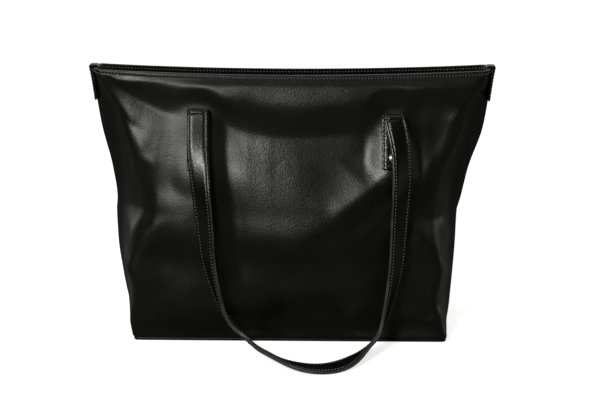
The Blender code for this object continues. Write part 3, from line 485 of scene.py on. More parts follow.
def new_piece(name, points, faces, materials, smooth_angle=40.0):
    """Mesh object with smooth shading and its hard edges kept."""
    mesh = bpy.data.meshes.new(name)
    mesh.from_pydata([tuple(p) for p in points], [], faces)
    mesh.validate()
    for material in materials:
        mesh.materials.append(material)
    thing = placed(name, mesh)
    work = bmesh.new()
    work.from_mesh(mesh)
    bmesh.ops.recalc_face_normals(work, faces=work.faces)
    work.to_mesh(mesh)
    work.free()
    smoothed(mesh, smooth_angle)
    return thing


def settle(thing, body, slot, *nodes):
    """Rides on a body and hides the model's nodes that it stands for. slot, its finish's name, is not used."""
    if nodes:
        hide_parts(*nodes)
    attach(thing, body)
    return thing


def shell(name, outer, inner, materials, smooth_angle=40.0):
    """Closed solid between two matching grids of points."""
    rows, columns = outer.shape[:2]
    points = np.concatenate([outer.reshape(-1, 3), inner.reshape(-1, 3)])
    shift = rows * columns
    index = np.arange(shift).reshape(rows, columns)
    a, b, c, d = index[:-1, :-1], index[:-1, 1:], index[1:, 1:], index[1:, :-1]
    quads = np.stack([a, b, c, d], axis=-1).reshape(-1, 4)
    faces = [tuple(int(i) for i in q) for q in quads] + [tuple(int(i) + shift for i in q[::-1]) for q in quads]
    border = list(index[0]) + list(index[1:, -1]) + list(index[-1, -2::-1]) + list(index[-2:0:-1, 0])
    for p, q in zip(border, border[1:] + border[:1]):
        faces.append((int(p), int(p) + shift, int(q) + shift, int(q)))
    return new_piece(name, points, faces, materials, smooth_angle)


def ring_faces(rings, count):
    """Faces between rings of count points each, and the two flat ends."""
    faces = []
    for r in range(rings - 1):
        for c in range(count):
            d = (c + 1) % count
            faces.append((r * count + c, r * count + d, (r + 1) * count + d, (r + 1) * count + c))
    return faces + [tuple(range(count)), tuple((rings - 1) * count + c for c in range(count))]


def loft(name, rings, materials, smooth_angle=40.0):
    """Closed solid through matching rings of points, with flat ends."""
    rings = np.asarray(rings, float)
    return new_piece(name, rings.reshape(-1, 3), ring_faces(*rings.shape[:2]), materials, smooth_angle)


def circle(count):
    """Cosine and sine of even steps once round."""
    return [(math.cos(2 * math.pi * k / count), math.sin(2 * math.pi * k / count)) for k in range(count)]


def node_of(tree, kind, values, **settings):
    """New node of a tree, with its settings and the values of its sockets."""
    made = tree.nodes.new(kind)
    for key, value in settings.items():
        setattr(made, key, value)
    for key, value in values.items():
        made.inputs[key].default_value = value
    return made


# Materials


class Finish:
    """Builds one Principled material from a few procedural layers on object coordinates."""

    def __init__(self, name):
        self.material = bpy.data.materials.new(name)
        self.material.use_nodes = True
        self.tree = self.material.node_tree
        self.shader = self.tree.nodes["Principled BSDF"]
        self.coordinates = self.add("ShaderNodeTexCoord").outputs["Object"]
        self.bumped = None

    def add(self, kind, values=None, **settings):
        return node_of(self.tree, kind, values or {}, **settings)

    def link(self, source, target):
        self.tree.links.new(source, target)

    def noise(self, scale, detail=3.0, roughness=0.55, stretch=None, distortion=0.0):
        """Soft noise with scale patches to the metre."""
        values = {"Scale": scale, "Detail": detail, "Roughness": roughness, "Distortion": distortion}
        node = self.add("ShaderNodeTexNoise", values)
        where = self.coordinates
        if stretch:
            mapping = self.add("ShaderNodeMapping", {"Scale": stretch})
            self.link(self.coordinates, mapping.inputs["Vector"])
            where = mapping.outputs["Vector"]
        self.link(where, node.inputs["Vector"])
        return node.outputs["Fac"]

    def cells(self, scale):
        """Pores, scale of them to the metre."""
        node = self.add("ShaderNodeTexVoronoi", {"Scale": scale})
        self.link(self.coordinates, node.inputs["Vector"])
        return node.outputs["Distance"]

    def wave(self, **values):
        """Even bands."""
        axis = values.pop("axis", "X")
        values = {key.replace("_", " "): value for key, value in values.items()}
        node = self.add("ShaderNodeTexWave", values, bands_direction=axis)
        self.link(self.coordinates, node.inputs["Vector"])
        return node.outputs["Fac"]

    def ramp(self, value, low, high, first=0.0, last=1.0):
        """Value that goes from first to last while another goes from low to high."""
        limits = {"From Min": low, "From Max": high, "To Min": first, "To Max": last}
        node = self.add("ShaderNodeMapRange", limits, interpolation_type="SMOOTHSTEP")
        self.link(value, node.inputs["Value"])
        return node.outputs["Result"]

    def bump(self, height, distance, strength=1.0):
        """Adds one layer of relief, in metres, over the layers before it."""
        node = self.add("ShaderNodeBump", {"Strength": strength, "Distance": distance})
        self.link(height, node.inputs["Height"])
        if self.bumped is not None:
            self.link(self.bumped, node.inputs["Normal"])
        self.bumped = node.outputs["Normal"]
        self.link(self.bumped, self.shader.inputs["Normal"])

    def tint(self, factor, first, second):
        """Base colour that runs from first to second by factor."""
        node = self.add("ShaderNodeMix", data_type="RGBA")
        self.link(factor, node.inputs["Factor"])
        colours = [socket for socket in node.inputs if socket.type == "RGBA"]
        colours[0].default_value = (*first, 1.0)
        colours[1].default_value = (*second, 1.0)
        self.link([socket for socket in node.outputs if socket.type == "RGBA"][0], self.shader.inputs["Base Color"])

    def patchy(self, colour, scale, detail, spread, reach):
        """Base colour in darker and lighter patches: shares of it, reached at the two ends of the noise's reach."""
        self.tint(self.ramp(self.noise(scale, detail), *reach), *(shade(colour, share) for share in spread))

    def rough(self, low, high, scale, detail, reach):
        """Uneven roughness between two values."""
        self.link(self.ramp(self.noise(scale, detail), *reach, low, high), self.shader.inputs["Roughness"])

    def set(self, **values):
        for key, value in values.items():
            self.shader.inputs[key.replace("_", " ")].default_value = value


def shade(colour, factor):
    return tuple(min(1.0, c * factor) for c in colour)


def leather(name, colour, roughness=0.40, crease=1.0):
    """Smooth aniline leather: fine pores, faint creases and uneven polish."""
    f = Finish(name)
    f.patchy(colour, 26.0, 4.0, (0.8, 1.35), (0.35, 0.7))
    f.rough(roughness - 0.05, roughness + 0.07, 14.0, 3.0, (0.3, 0.75))
    f.bump(f.noise(42.0, 2.0, 0.5), 0.00045 * crease, 0.5)
    f.bump(f.noise(140.0, 3.0, 0.6, (1.0, 1.0, 0.6), 1.2), 0.00016 * crease, 0.6)
    f.bump(f.noise(520.0, 3.0, 0.6), 0.00022, 0.85)
    f.bump(f.cells(1100.0), 0.00006, 0.5)
    f.bump(f.noise(2600.0, 2.0), 0.00003, 0.4)
    return f.material


def edge_paint_and_highlight(name, colour):
    """Painted cut edge: smoother and a little uneven. Its pale colour is partly the paint's own and partly a painted
    highlight along the edge.
    """
    f = Finish(name)
    f.patchy(colour, 60.0, 3.0, (0.8, 1.5), (0.3, 0.7))
    f.rough(0.34, 0.48, 90.0, 3.0, (0.3, 0.7))
    f.bump(f.noise(240.0, 3.0), 0.0003, 0.5)
    return f.material


def thread(name, colour):
    """Twisted waxed thread. Painted shade: black and without shine on the disc that the stitch pattern marks over each
    awl hole.
    """
    f = Finish(name)
    # Painted shade of the awl holes: black colour and no shine where the disc is marked
    hole_shade = f.add("ShaderNodeAttribute", attribute_name="hole_shade").outputs["Fac"]
    worn = f.add("ShaderNodeMath", operation="MULTIPLY")
    f.link(f.ramp(f.noise(700.0, 2.0), 0.35, 0.65, 0.7, 1.5), worn.inputs[0])
    f.link(f.ramp(hole_shade, 0.0, 1.0, 1.0, 0.0), worn.inputs[1])
    f.tint(worn.outputs[0], (0.0004, 0.0004, 0.0004), colour)
    f.link(f.ramp(hole_shade, 0.0, 1.0, 0.5, 0.0), f.shader.inputs["Specular IOR Level"])
    f.set(Roughness=0.40)
    f.bump(f.wave(Scale=950.0, Distortion=1.0), 0.00012, 0.6)
    return f.material


def cloth(name, colour, count):
    """Plain woven cloth with count threads to the metre."""
    f = Finish(name)
    f.patchy(colour, 420.0, 3.0, (0.7, 1.35), (0.3, 0.7))
    f.set(Roughness=0.85, Sheen_Weight=0.25, Sheen_Roughness=0.5)
    for axis in ("X", "Y", "Z"):
        f.bump(f.wave(axis=axis, Scale=count / 20.0 * 3.0, Distortion=0.6, Detail_Scale=2.0), 0.00022, 0.5)
    f.bump(f.noise(60.0, 3.0), 0.0008, 0.4)
    return f.material


def metal(name, colour, roughness):
    """Polished plating with hair scratches and faint smudges."""
    f = Finish(name)
    f.patchy(colour, 90.0, 3.0, (0.93, 1.05), (0.3, 0.7))
    f.set(Metallic=1.0)
    f.rough(roughness, roughness + 0.12, 300.0, 4.0, (0.3, 0.75))
    f.bump(f.noise(1500.0, 2.0, 0.5, (1.0, 8.0, 1.0)), 0.00003, 0.35)
    return f.material


def board(name, colour):
    """Grey fibre board with a speckle."""
    f = Finish(name)
    f.patchy(colour, 700.0, 4.0, (0.7, 1.3), (0.4, 0.65))
    f.set(Roughness=0.85)
    f.bump(f.noise(500.0, 4.0), 0.0002, 0.6)
    return f.material


# Finishes made so far
MADE = {}


def finish(name):
    """One of the bag's finishes, made the first time that it is asked for."""
    look = bpy.context.scene.tote
    if name not in MADE:
        makers = {
            "wall_leather": lambda: leather(name, look.leather_colour, look.leather_roughness),
            "trim_leather": lambda: leather(name, look.leather_colour, look.leather_roughness, 0.5),
            "strap_leather": lambda: leather(name, look.strap_colour, look.leather_roughness - 0.09, 0.35),
            # Pale edge colour: edge paint and a painted highlight along the straps' edges
            "edge_paint_and_highlight": lambda: edge_paint_and_highlight(name, look.pale_edge_highlight_colour),
            # The thread's grey colour is a painted highlight for the sheen of black thread
            "thread": lambda: thread(name, look.thread_sheen_colour),
            "lining_cloth": lambda: cloth(name, look.lining_colour, 2200.0),
            "zip_tape_cloth": lambda: cloth(name, look.tape_colour, 3200.0),
            "coil_nylon": lambda: thread(name, look.tape_colour),
            "rivet_metal": lambda: metal(name, look.metal_colour, 0.26),
            "zip_metal": lambda: metal(name, look.metal_colour, 0.16),
            "board_fibre": lambda: board(name, (0.10, 0.085, 0.07)),
        }
        MADE[name] = makers[name]()
    return MADE[name]


# Stitches and other repeats


# Sockets of the tree that repeats a piece, its nodes, and the links from socket to socket
REPEAT_INPUTS = (
    ("Rows", "Geometry"), ("Pitch", "Float"), ("Piece", "Object"), ("Finish", "Material"), ("Size Spread", "Float"),
    ("Seed", "Int"),
)
REPEAT_NODES = (
    ("given", "NodeGroupInput", {}), ("curve", "GeometryNodeMeshToCurve", {}),
    ("spaced", "GeometryNodeResampleCurve", {"mode": "LENGTH"}), ("tangent", "GeometryNodeInputTangent", {}),
    ("normal", "GeometryNodeInputNamedAttribute", {"data_type": "FLOAT_VECTOR"}),
    ("first", "FunctionNodeAlignRotationToVector", {"axis": "X"}),
    ("second", "FunctionNodeAlignRotationToVector", {"axis": "Z", "pivot_axis": "X"}),
    ("info", "GeometryNodeObjectInfo", {}), ("spread", "ShaderNodeMath", {"operation": "SUBTRACT"}),
    ("chance", "FunctionNodeRandomValue", {"data_type": "FLOAT"}), ("places", "GeometryNodeInstanceOnPoints", {}),
    ("real", "GeometryNodeRealizeInstances", {}), ("paint", "GeometryNodeSetMaterial", {}),
    ("out", "NodeGroupOutput", {}),
)
REPEAT_LINKS = (
    ("given", "Rows", "curve", "Mesh"), ("curve", "Curve", "spaced", "Curve"), ("given", "Pitch", "spaced", "Length"),
    ("tangent", "Tangent", "first", "Vector"), ("first", "Rotation", "second", "Rotation"),
    ("normal", "Attribute", "second", "Vector"), ("given", "Piece", "info", "Object"),
    ("spaced", "Curve", "places", "Points"), ("info", "Geometry", "places", "Instance"),
    ("second", "Rotation", "places", "Rotation"), ("given", "Seed", "chance", "Seed"),
    ("places", "Instances", "real", "Geometry"), ("real", "Geometry", "paint", "Geometry"),
    ("given", "Finish", "paint", "Material"), ("paint", "Geometry", "out", "Repeats"),
)


def repeat_tree():
    """Tree that sets one piece again and again along rows, standing on the surface that the rows follow."""
    tree = bpy.data.node_groups.get("repeat_along_rows")
    if tree:
        return tree
    tree = bpy.data.node_groups.new("repeat_along_rows", "GeometryNodeTree")
    for name, kind in REPEAT_INPUTS:
        tree.interface.new_socket(name=name, in_out="INPUT", socket_type="NodeSocket" + kind)
    tree.interface.new_socket(name="Repeats", in_out="OUTPUT", socket_type="NodeSocketGeometry")
    nodes = {name: node_of(tree, kind, {}, **settings) for name, kind, settings in REPEAT_NODES}
    nodes["normal"].inputs["Name"].default_value = "row_normal"
    for start, output, end, target in REPEAT_LINKS:
        tree.links.new(nodes[start].outputs[output], nodes[end].inputs[target])
    spread, chance = nodes["spread"], nodes["chance"]
    spread.inputs[0].default_value = 1.0
    tree.links.new(nodes["given"].outputs["Size Spread"], spread.inputs[1])
    least, most = [socket for socket in chance.inputs if socket.type == "VALUE"][:2]
    tree.links.new(spread.outputs[0], least)
    most.default_value = 1.0
    size_drawn = [socket for socket in chance.outputs if socket.type == "VALUE"][0]
    tree.links.new(size_drawn, nodes["places"].inputs["Scale"])
    return tree


def repeat(name, rows, piece, pitch, material, spread=0.12, seed=1):
    """Object with copies of a small piece along rows of (points, normals)."""
    points, edges, normals = [], [], []
    for places, outward in rows:
        first = len(points)
        points += [tuple(p) for p in places]
        normals += [tuple(n) for n in outward]
        edges += [(first + k, first + k + 1) for k in range(len(places) - 1)]
    mesh = bpy.data.meshes.new(name + "_rows")
    mesh.from_pydata(points, edges, [])
    attribute = mesh.attributes.new("row_normal", "FLOAT_VECTOR", "POINT")
    attribute.data.foreach_set("vector", np.array(normals, np.float32).ravel())
    guide = placed(name + "_rows", mesh)
    change = guide.modifiers.new("repeat", "NODES")
    change.node_group = repeat_tree()
    values = {"Pitch": pitch, "Piece": piece, "Finish": material, "Size Spread": spread, "Seed": seed}
    for item in change.node_group.interface.items_tree:
        if item.in_out == "INPUT" and item.name in values:
            change[item.identifier] = values[item.name]
    guide.update_tag()
    bpy.context.view_layer.update()
    shown = guide.evaluated_get(bpy.context.evaluated_depsgraph_get())
    made = bpy.data.meshes.new_from_object(shown)
    guide.modifiers.remove(change)
    bpy.data.objects.remove(guide, do_unlink=True)
    bpy.data.meshes.remove(mesh)
    made.name = name
    if not len(made.vertices):
        raise RuntimeError(name + " came out empty")
    if "row_normal" in made.attributes:
        made.attributes.remove(made.attributes["row_normal"])
    made.shade_smooth()
    return placed(name, made)


# A stitch from end to end: (share of its length, height and thickness in thread radii)
STITCH_SHAPE = ((-0.5, -1.5, 0.7), (-0.42, -0.1, 1.0), (-0.2, 0.8, 1.0), (0.2, 0.8, 1.0), (0.42, -0.1, 1.0),
                (0.5, -1.5, 0.7))
STITCH_SHARE = 0.60
# Radius, in thread radii, of the flat disc that is painted black as the shade inside each awl hole
SHADE_DISC_RADII = 1.50


def stitch_piece(pitch, radius):
    """One stitch of thread that dips into the leather at both ends, and after it a flat disc over the awl hole, marked
    to take the hole's painted shade.
    """
    shade_disc_radius = radius * SHADE_DISC_RADII
    points = []
    for x, lift, size in STITCH_SHAPE:
        for c, s in circle(6):
            points.append((x * pitch * STITCH_SHARE, c * radius * size * 1.15, (lift + s * size) * radius))
    faces = ring_faces(len(STITCH_SHAPE), 6)
    first = len(points)
    points += [(0.5 * pitch + c * shade_disc_radius, s * shade_disc_radius, 0.15 * radius) for c, s in circle(8)]
    faces.append(tuple(first + k for k in range(8)))
    thing = new_piece("stitch_pattern", points, faces, [])
    # Mark the disc's points, which the thread finish paints black as the awl hole's shade
    mark = thing.data.attributes.new("hole_shade", "FLOAT", "POINT")
    mark.data.foreach_set("value", [0.0] * first + [1.0] * 8)
    return thing


def stitches(name, rows, body, slot="strap_leather", pitch=None, radius=None):
    """Row of thread stitches. Without a body, the caller says what it moves with."""
    look = bpy.context.scene.tote
    pitch = pitch or look.stitch_pitch
    pattern = stitch_piece(pitch, radius or look.thread_radius)
    made = repeat(name, rows, pattern, pitch, finish("thread"))
    bpy.data.objects.remove(pattern, do_unlink=True)
    if body:
        return settle(made, body, slot)
    return made


# Walls

# Drops below the rim of the rows of a wall and of its facing strip, close together at the edges and the stitches
RIM_DROPS = (0.0300, 0.0270, 0.0240, 0.0212, 0.0186, 0.0162, 0.0140, 0.0120, 0.0103, 0.0088, 0.0075, 0.0064, 0.0055,
             0.0048, 0.0043, 0.0039, 0.0036, 0.0034, 0.0032, 0.0029, 0.0025, 0.0020, 0.0015, 0.0010, 0.0006,
             0.0003, 0.0001, 0.0)
FACING_DROPS = (0.032, 0.0318, 0.0312, 0.030, 0.025, 0.020, 0.015, 0.0115, 0.0085, 0.0065, 0.0052, 0.0044, 0.0039,
                0.0034, 0.0029, 0.0024, 0.0018, 0.0012, 0.0007, 0.0003, 0.0001, 0.0)
# Groove that a row of stitches pulls into leather, and the low swell beside it
GROOVE_DEPTH = 0.00030
GROOVE_HALF = 0.00060
SWELL_HEIGHT = 0.00010
SWELL_PLACE = 0.0014
# Rounded edges: how far back they stand, and over what height or what share of the half width they do so
RIM_EDGE = (0.0008, 0.0008)
BASE_EDGE = (0.0014, 0.0022)
SEAM_EDGE = (0.0011, 0.012)
FACING_EDGE = (0.0007, 0.0007)
FACING_HEM = (0.0005, 0.002)


def groove(distance):
    """Depth of the shallow groove that a row of stitches pulls into leather."""
    swell = SWELL_HEIGHT * np.exp(-((np.abs(distance) - SWELL_PLACE) / GROOVE_HALF) ** 2)
    return GROOVE_DEPTH * np.exp(-(distance / GROOVE_HALF) ** 2) - swell


def edge_roll(share):
    """How far a rounded edge stands back: 1 at the edge itself and 0 one radius away from it."""
    return 1.0 - np.sqrt(1.0 - (1.0 - np.clip(share, 0.0, 1.0)) ** 2)


def wall_columns():
    """Places along the wall of a panel's columns, close together at the seams."""
    middle = np.linspace(-0.985, 0.985, 281)
    edge = np.array((0.9875, 0.990, 0.992, 0.9938, 0.9954, 0.9968, 0.998, 0.999, 1.0))
    return np.concatenate([-edge[::-1], middle, edge])


def wall_rows():
    """Share of the way up of a panel's lower rows, close together at the bottom edge."""
    edge = np.array((0.0, 0.0004, 0.0010, 0.0018, 0.0030, 0.0045, 0.0065, 0.0090)) / 0.25
    return np.concatenate([edge, np.linspace(0.05, 1.0, 104)[:-1]])


def wall_panel(side, face):
    """Front or back panel: one skin of leather with rolled edges, its folds and the rim's stitch groove."""
    along = wall_columns()[None, :]
    rim = rim_height(along)
    low = PANEL_BOTTOM + wall_rows()[:, None] * (rim - RIM_DROPS[0] - PANEL_BOTTOM)
    heights = np.concatenate([low, rim - np.array(RIM_DROPS)[:, None]])
    drop = rim - heights
    along = np.broadcast_to(along, heights.shape)
    inset = groove(drop - STITCH_DROP)
    from_edges = (drop, heights - PANEL_BOTTOM, 1.0 - np.abs(along))
    for away, (depth, reach) in zip(from_edges, (RIM_EDGE, BASE_EDGE, SEAM_EDGE)):
        inset += depth * edge_roll(away / reach)
    outer = skin(side, along, heights, inset)[0]
    inner = skin(side, along, heights, np.maximum(PANEL_THICK, inset + 0.0002))[0]
    thing = shell(face + "_wall_leather", outer, inner, [finish("wall_leather")], 50.0)
    return settle(thing, "bag", "bag_leather", face + "_panel")


def rim_band(side, face):
    """Facing strip inside the rim, with its own rounded top edge."""
    along = np.linspace(-1.0, 1.0, 221)[None, :]
    drops = np.array(FACING_DROPS)[:, None]
    heights = rim_height(along) - drops
    along = np.broadcast_to(along, heights.shape)
    lower = FACING_HEM[0] * (1.0 - np.clip((FACING_HEIGHT - drops) / FACING_HEM[1], 0, 1)) ** 2
    cut = FACING_EDGE[0] * edge_roll(drops / FACING_EDGE[1]) + lower + groove(drops - STITCH_DROP)
    outer = skin(side, along, heights, FACING_INSET)[0]
    inner = skin(side, along, heights, FACING_INNER - cut)[0]
    thing = shell(face + "_rim_band", outer, inner, [finish("trim_leather")], 50.0)
    return settle(thing, "bag", "bag_leather", face + "_rim_facing")


def rim_rows(side, inset, outwards, margin):
    """Row along the rim at the stitching's drop."""
    along = np.linspace(-1.0 + margin, 1.0 - margin, 420)
    places, normals = skin(side, along, rim_height(along) - STITCH_DROP, inset)
    return places, normals * outwards


# Straps


# Shares of half a strap's width at which the rows of its faces lie, close together at the stitches
STRAP_SHARES = (0.4, 0.62, 0.665, 0.70, 0.727, 0.755, 0.79, 0.84, 0.90)
STRAP_CROWN = 0.00030
ROUND_EDGE = 0.0009
CUT_EDGE = 0.00022
# Room that each of a handle's two layers leaves to the other
LAYER_SLACK = 0.00006
# Width of the pale painted band at a strap's edge, partly edge paint and partly a painted highlight, and how far its
# stitches stay from its lower end
PAINTED = 0.00040
END_ROW = 0.0030


def strap_section(low, high, round_low, round_high):
    """Cross-section of one leather layer: (across, through) places round it, with stitch grooves near its edges."""
    half = STRAP_WIDTH / 2

    def flat(level, sign, rounded):
        if not rounded:
            return [(-half * 0.6, level), (0, level), (half * 0.6, level)]
        line = []
        for k in sorted([0.0, *STRAP_SHARES, *(-share for share in STRAP_SHARES)]):
            line.append((k * half, level + sign * (STRAP_CROWN * (1 - k * k) - groove(abs(k) * half - STRAP_ROW))))
        return line

    def corner(x, level, towards, rounded):
        """Quarter round from the edge to the flat."""
        radius = ROUND_EDGE if rounded else CUT_EDGE
        made = []
        for t in np.linspace(0.0, math.pi / 2, 5):
            aside = math.copysign(radius * (1 - math.cos(t)), x)
            made.append((x - aside, level - towards * radius * (1 - math.sin(t))))
        return made

    ring = corner(half, high, 1.0, round_high) + flat(high, 1.0, round_high)[::-1]
    ring += corner(-half, high, 1.0, round_high)[::-1] + corner(-half, low, -1.0, round_low)
    return ring + flat(low, -1.0, round_low) + corner(half, low, -1.0, round_low)[::-1]


def strap_piece(name, frames, section, angle):
    """Stretch of strap along frames of (point, edge, normal), with pale paint on its cut edges, the farthest across:
    partly edge paint, partly a painted highlight.
    """
    rings = [[point + edge * a + normal * b for a, b in section] for point, edge, normal in frames]
    thing = loft(name, rings, [finish("strap_leather"), finish("edge_paint_and_highlight")], angle)
    wide = [abs(place[0]) > STRAP_WIDTH / 2 - PAINTED for place in section]
    for face in thing.data.polygons:
        around = [v % len(section) for v in face.vertices]
        if len(around) == 4 and all(wide[k] for k in around):
            face.material_index = 1
    return thing


# Legs of the hanging straps: share of the fold's height, shift to the right, distance off the wall, turn in degrees
LEFT_LEG = (
    (0.955, 0.0004, 0.0090, -5), (0.905, 0.0002, 0.0100, -4), (0.850, 0.0008, 0.0108, 4), (0.765, 0.0033, 0.0112, 17),
    (0.660, 0.0055, 0.0100, 31), (0.530, 0.0097, 0.0103, 40), (0.395, 0.0122, 0.0112, 49), (0.265, 0.0203, 0.0134, 65),
    (0.145, 0.0297, 0.0180, 75), (0.080, 0.0457, 0.0235, 78),
)
RIGHT_LEG = (
    (0.940, 0.0026, 0.0096, 4), (0.890, 0.0060, 0.0110, 12), (0.780, 0.0081, 0.0110, 22), (0.665, 0.0066, 0.0100, 33),
    (0.520, 0.0042, 0.0104, 41), (0.395, 0.0027, 0.0110, 46), (0.270, -0.0020, 0.0124, 58),
    (0.175, -0.0075, 0.0152, 70), (0.110, -0.0108, 0.0200, 77),
)
# The loop in front of the base: place across, distance ahead of the base, height, and where its front edge points
LOOP = (
    (-0.0440, 0.0307, 0.0125, (0.36, -0.80, 0.48)), (-0.0325, 0.0422, 0.0083, (-0.34, -0.85, 0.40)),
    (-0.0175, 0.0619, 0.0080, (-0.43, -0.72, 0.54)), (0.0025, 0.0763, 0.0051, (-0.45, -0.86, 0.24)),
    (0.0212, 0.0821, 0.0027, (-0.23, -0.97, 0.02)), (0.0389, 0.0821, 0.0027, (0.09, -1.00, -0.03)),
    (0.0564, 0.0718, 0.0027, (0.49, -0.87, -0.05)), (0.0709, 0.0553, 0.0066, (0.60, -0.73, 0.33)),
    (0.0824, 0.0386, 0.0102, (0.22, -0.71, 0.67)), (0.0911, 0.0289, 0.0126, (-0.07, -0.96, 0.29)),
)


# The plain model's seam and how far its corners are set in from it: (height, value)
MODEL_SEAM = ((0.0, 0.174), (0.045, 0.182), (0.145, 0.1895), (0.227, 0.20725), (0.291, 0.2155))
MODEL_SIDE_SET = ((0.0, 0.004), (0.045, 0.019), (0.145, 0.044), (0.227, 0.030), (0.291, 0.007))


def model_depth(across, height):
    """Half depth of the plain model's wall, from which its straps hang."""
    corner = through(MODEL_SEAM, height) - through(MODEL_SIDE_SET, height)
    return float(through(HALF_DEPTH, height) + through(CROWN, height) * (1.0 - (across / corner) ** 2))


def leg_places(leg, x, hand):
    """Middle points and edge directions of one hanging leg, from the fold down."""
    sign = -1.0 if x > 0 else 1.0
    ahead = PIVOT_AHEAD + FOLD_RADIUS
    top = FOLD_HEIGHT + STRAP_SET[hand][1]
    places = [((x, -model_depth(x, top) - ahead, top), (sign, 0.0, 0.0))]
    for share, shift, clear, turn in leg:
        height = share * FOLD_HEIGHT
        angle = math.radians(turn)
        point = (x + shift, -model_depth(x + shift, height) - clear, height)
        places.append((point, (sign * math.cos(angle), -math.sin(angle), 0.0)))
    return places


def spline(points, count):
    """Evenly spaced points of a smooth curve through the given ones."""
    points = np.array(points, dtype=float)
    knots = np.concatenate([[0.0], np.cumsum(np.linalg.norm(np.diff(points[:, :3], axis=0), axis=1))])
    slopes = np.zeros_like(points)
    steps = np.diff(knots)[:, None]
    rates = np.diff(points, axis=0) / steps
    slopes[1:-1] = (rates[:-1] * steps[1:] + rates[1:] * steps[:-1]) / (steps[1:] + steps[:-1])
    slopes[0] = rates[0]
    slopes[-1] = rates[-1]
    where = np.linspace(0.0, knots[-1], count)
    i = np.clip(np.searchsorted(knots, where) - 1, 0, len(knots) - 2)
    h = (knots[i + 1] - knots[i])[:, None]
    t = (where - knots[i])[:, None] / h
    value = (1 + 2 * t) * (1 - t) ** 2 * points[i] + t * (1 - t) ** 2 * h * slopes[i]
    return value + t * t * (3 - 2 * t) * points[i + 1] + t * t * (t - 1) * h * slopes[i + 1]


def relaxed(values, rounds):
    """The same row of values with its small kinks smoothed out and its ends kept."""
    values = values.copy()
    for _ in range(rounds):
        values[1:-1] += 0.25 * (values[:-2] + values[2:] - 2.0 * values[1:-1])
    return values


HANDLE_STEPS = 330


def handle_frames(side):
    """Middle points, edge directions and normals along a hanging handle. The back one mirrors the front one."""
    left = leg_places(LEFT_LEG, *STRAP_PLACES[0])
    right = leg_places(RIGHT_LEG, *STRAP_PLACES[1])
    loop = [((x, -0.063 - reach, z), edge) for x, reach, z, edge in LOOP]
    route = left + loop + right[::-1]
    samples = relaxed(spline([(*point, *edge) for point, edge in route], HANDLE_STEPS), 60)
    middle, edges = samples[:, :3], samples[:, 3:]
    tangent = np.gradient(middle, axis=0)
    tangent[0] = (0.0, 0.0, -1.0)
    tangent[-1] = (0.0, 0.0, 1.0)
    tangent /= np.linalg.norm(tangent, axis=1, keepdims=True)
    edges = edges - tangent * np.sum(edges * tangent, axis=1, keepdims=True)
    edges /= np.linalg.norm(edges, axis=1, keepdims=True)
    normals = np.cross(tangent, edges)
    if side == BACK:
        mirror = np.array((1.0, -1.0, 1.0))
        middle, edges, normals = middle * mirror, edges * mirror, normals * mirror
    return list(zip(middle, edges, normals))


def handle_layers(side, face):
    """The two leather layers of a hanging handle, and the stitches along its edges."""
    frames = handle_frames(side)
    outside = LAYER_THICK + GAP / 2
    for label, low, high in (("backing", LAYER_SLACK, outside), ("leather", -outside, -LAYER_SLACK)):
        section = strap_section(low, high, label == "leather", label == "backing")
        thing = strap_piece(f"{face}_strap_{label}", frames, section, 60.0)
        settle(thing, face + "_handle", "strap_leather", f"{face}_handle_{label}")
    lift = outside - GROOVE_DEPTH + THREAD_LIFT
    rows = []
    for turn in (1.0, -1.0):
        for across in (STRAP_ROW, -STRAP_ROW):
            rows.append(([p + e * across + n * turn * lift for p, e, n in frames], [n * turn for p, e, n in frames]))
    stitches(face + "_strap_stitches", rows, face + "_handle")


def frame_at(side, x, height):
    """Point of the plain model's wall, its direction across and its outward normal."""
    step = SLOPE_STEP
    across = np.array((2 * step, side * (model_depth(x + step, height) - model_depth(x - step, height)), 0.0))
    rise = np.array((0.0, side * (model_depth(x, height + step) - model_depth(x, height - step)), 2 * step))
    across /= np.linalg.norm(across)
    normal = np.cross(across, rise / np.linalg.norm(rise)) * -side
    return np.array((x, side * model_depth(x, height), height)), across, normal


def sewn_frames(side, x, hand, count=28):
    """Frames of a sewn strap end, from its bottom up to the fold, where it stands upright."""
    frames = []
    aside, up, end_up = STRAP_SET[hand]
    for i, height in enumerate(np.linspace(STRAP_END_HEIGHT + end_up, FOLD_HEIGHT + up, count)):
        point, edge, normal = frame_at(side, x + aside, height)
        upright = smoothstep(count - 5, count - 1, float(i))
        normal = normal * (1 - upright) + np.array((0.0, side, 0.0)) * upright
        edge = edge * (1 - upright) + np.array((1.0, 0.0, 0.0)) * upright
        normal /= np.linalg.norm(normal)
        edge /= np.linalg.norm(edge)
        frames.append((point + normal * (GAP + STRAP_THICK / 2), edge, normal))
    return frames


def fold_frames(side, x, hand, count=25):
    """Frames round a strap's fold, from the sewn end over to the hanging leg."""
    aside, up = STRAP_SET[hand][:2]
    top = FOLD_HEIGHT + up
    pivot = np.array((x, side * (model_depth(x, top) + PIVOT_AHEAD), top))
    frames = []
    for angle in np.linspace(0.004, math.pi - 0.004, count):
        ray = np.array((0.0, -side * math.cos(angle), math.sin(angle)))
        shift = np.array((aside * (1.0 - smoothstep(0.0, math.pi, angle)), 0.0, 0.0))
        frames.append((pivot + shift + ray * FOLD_RADIUS, np.array((1.0, 0.0, 0.0)), ray))
    return frames


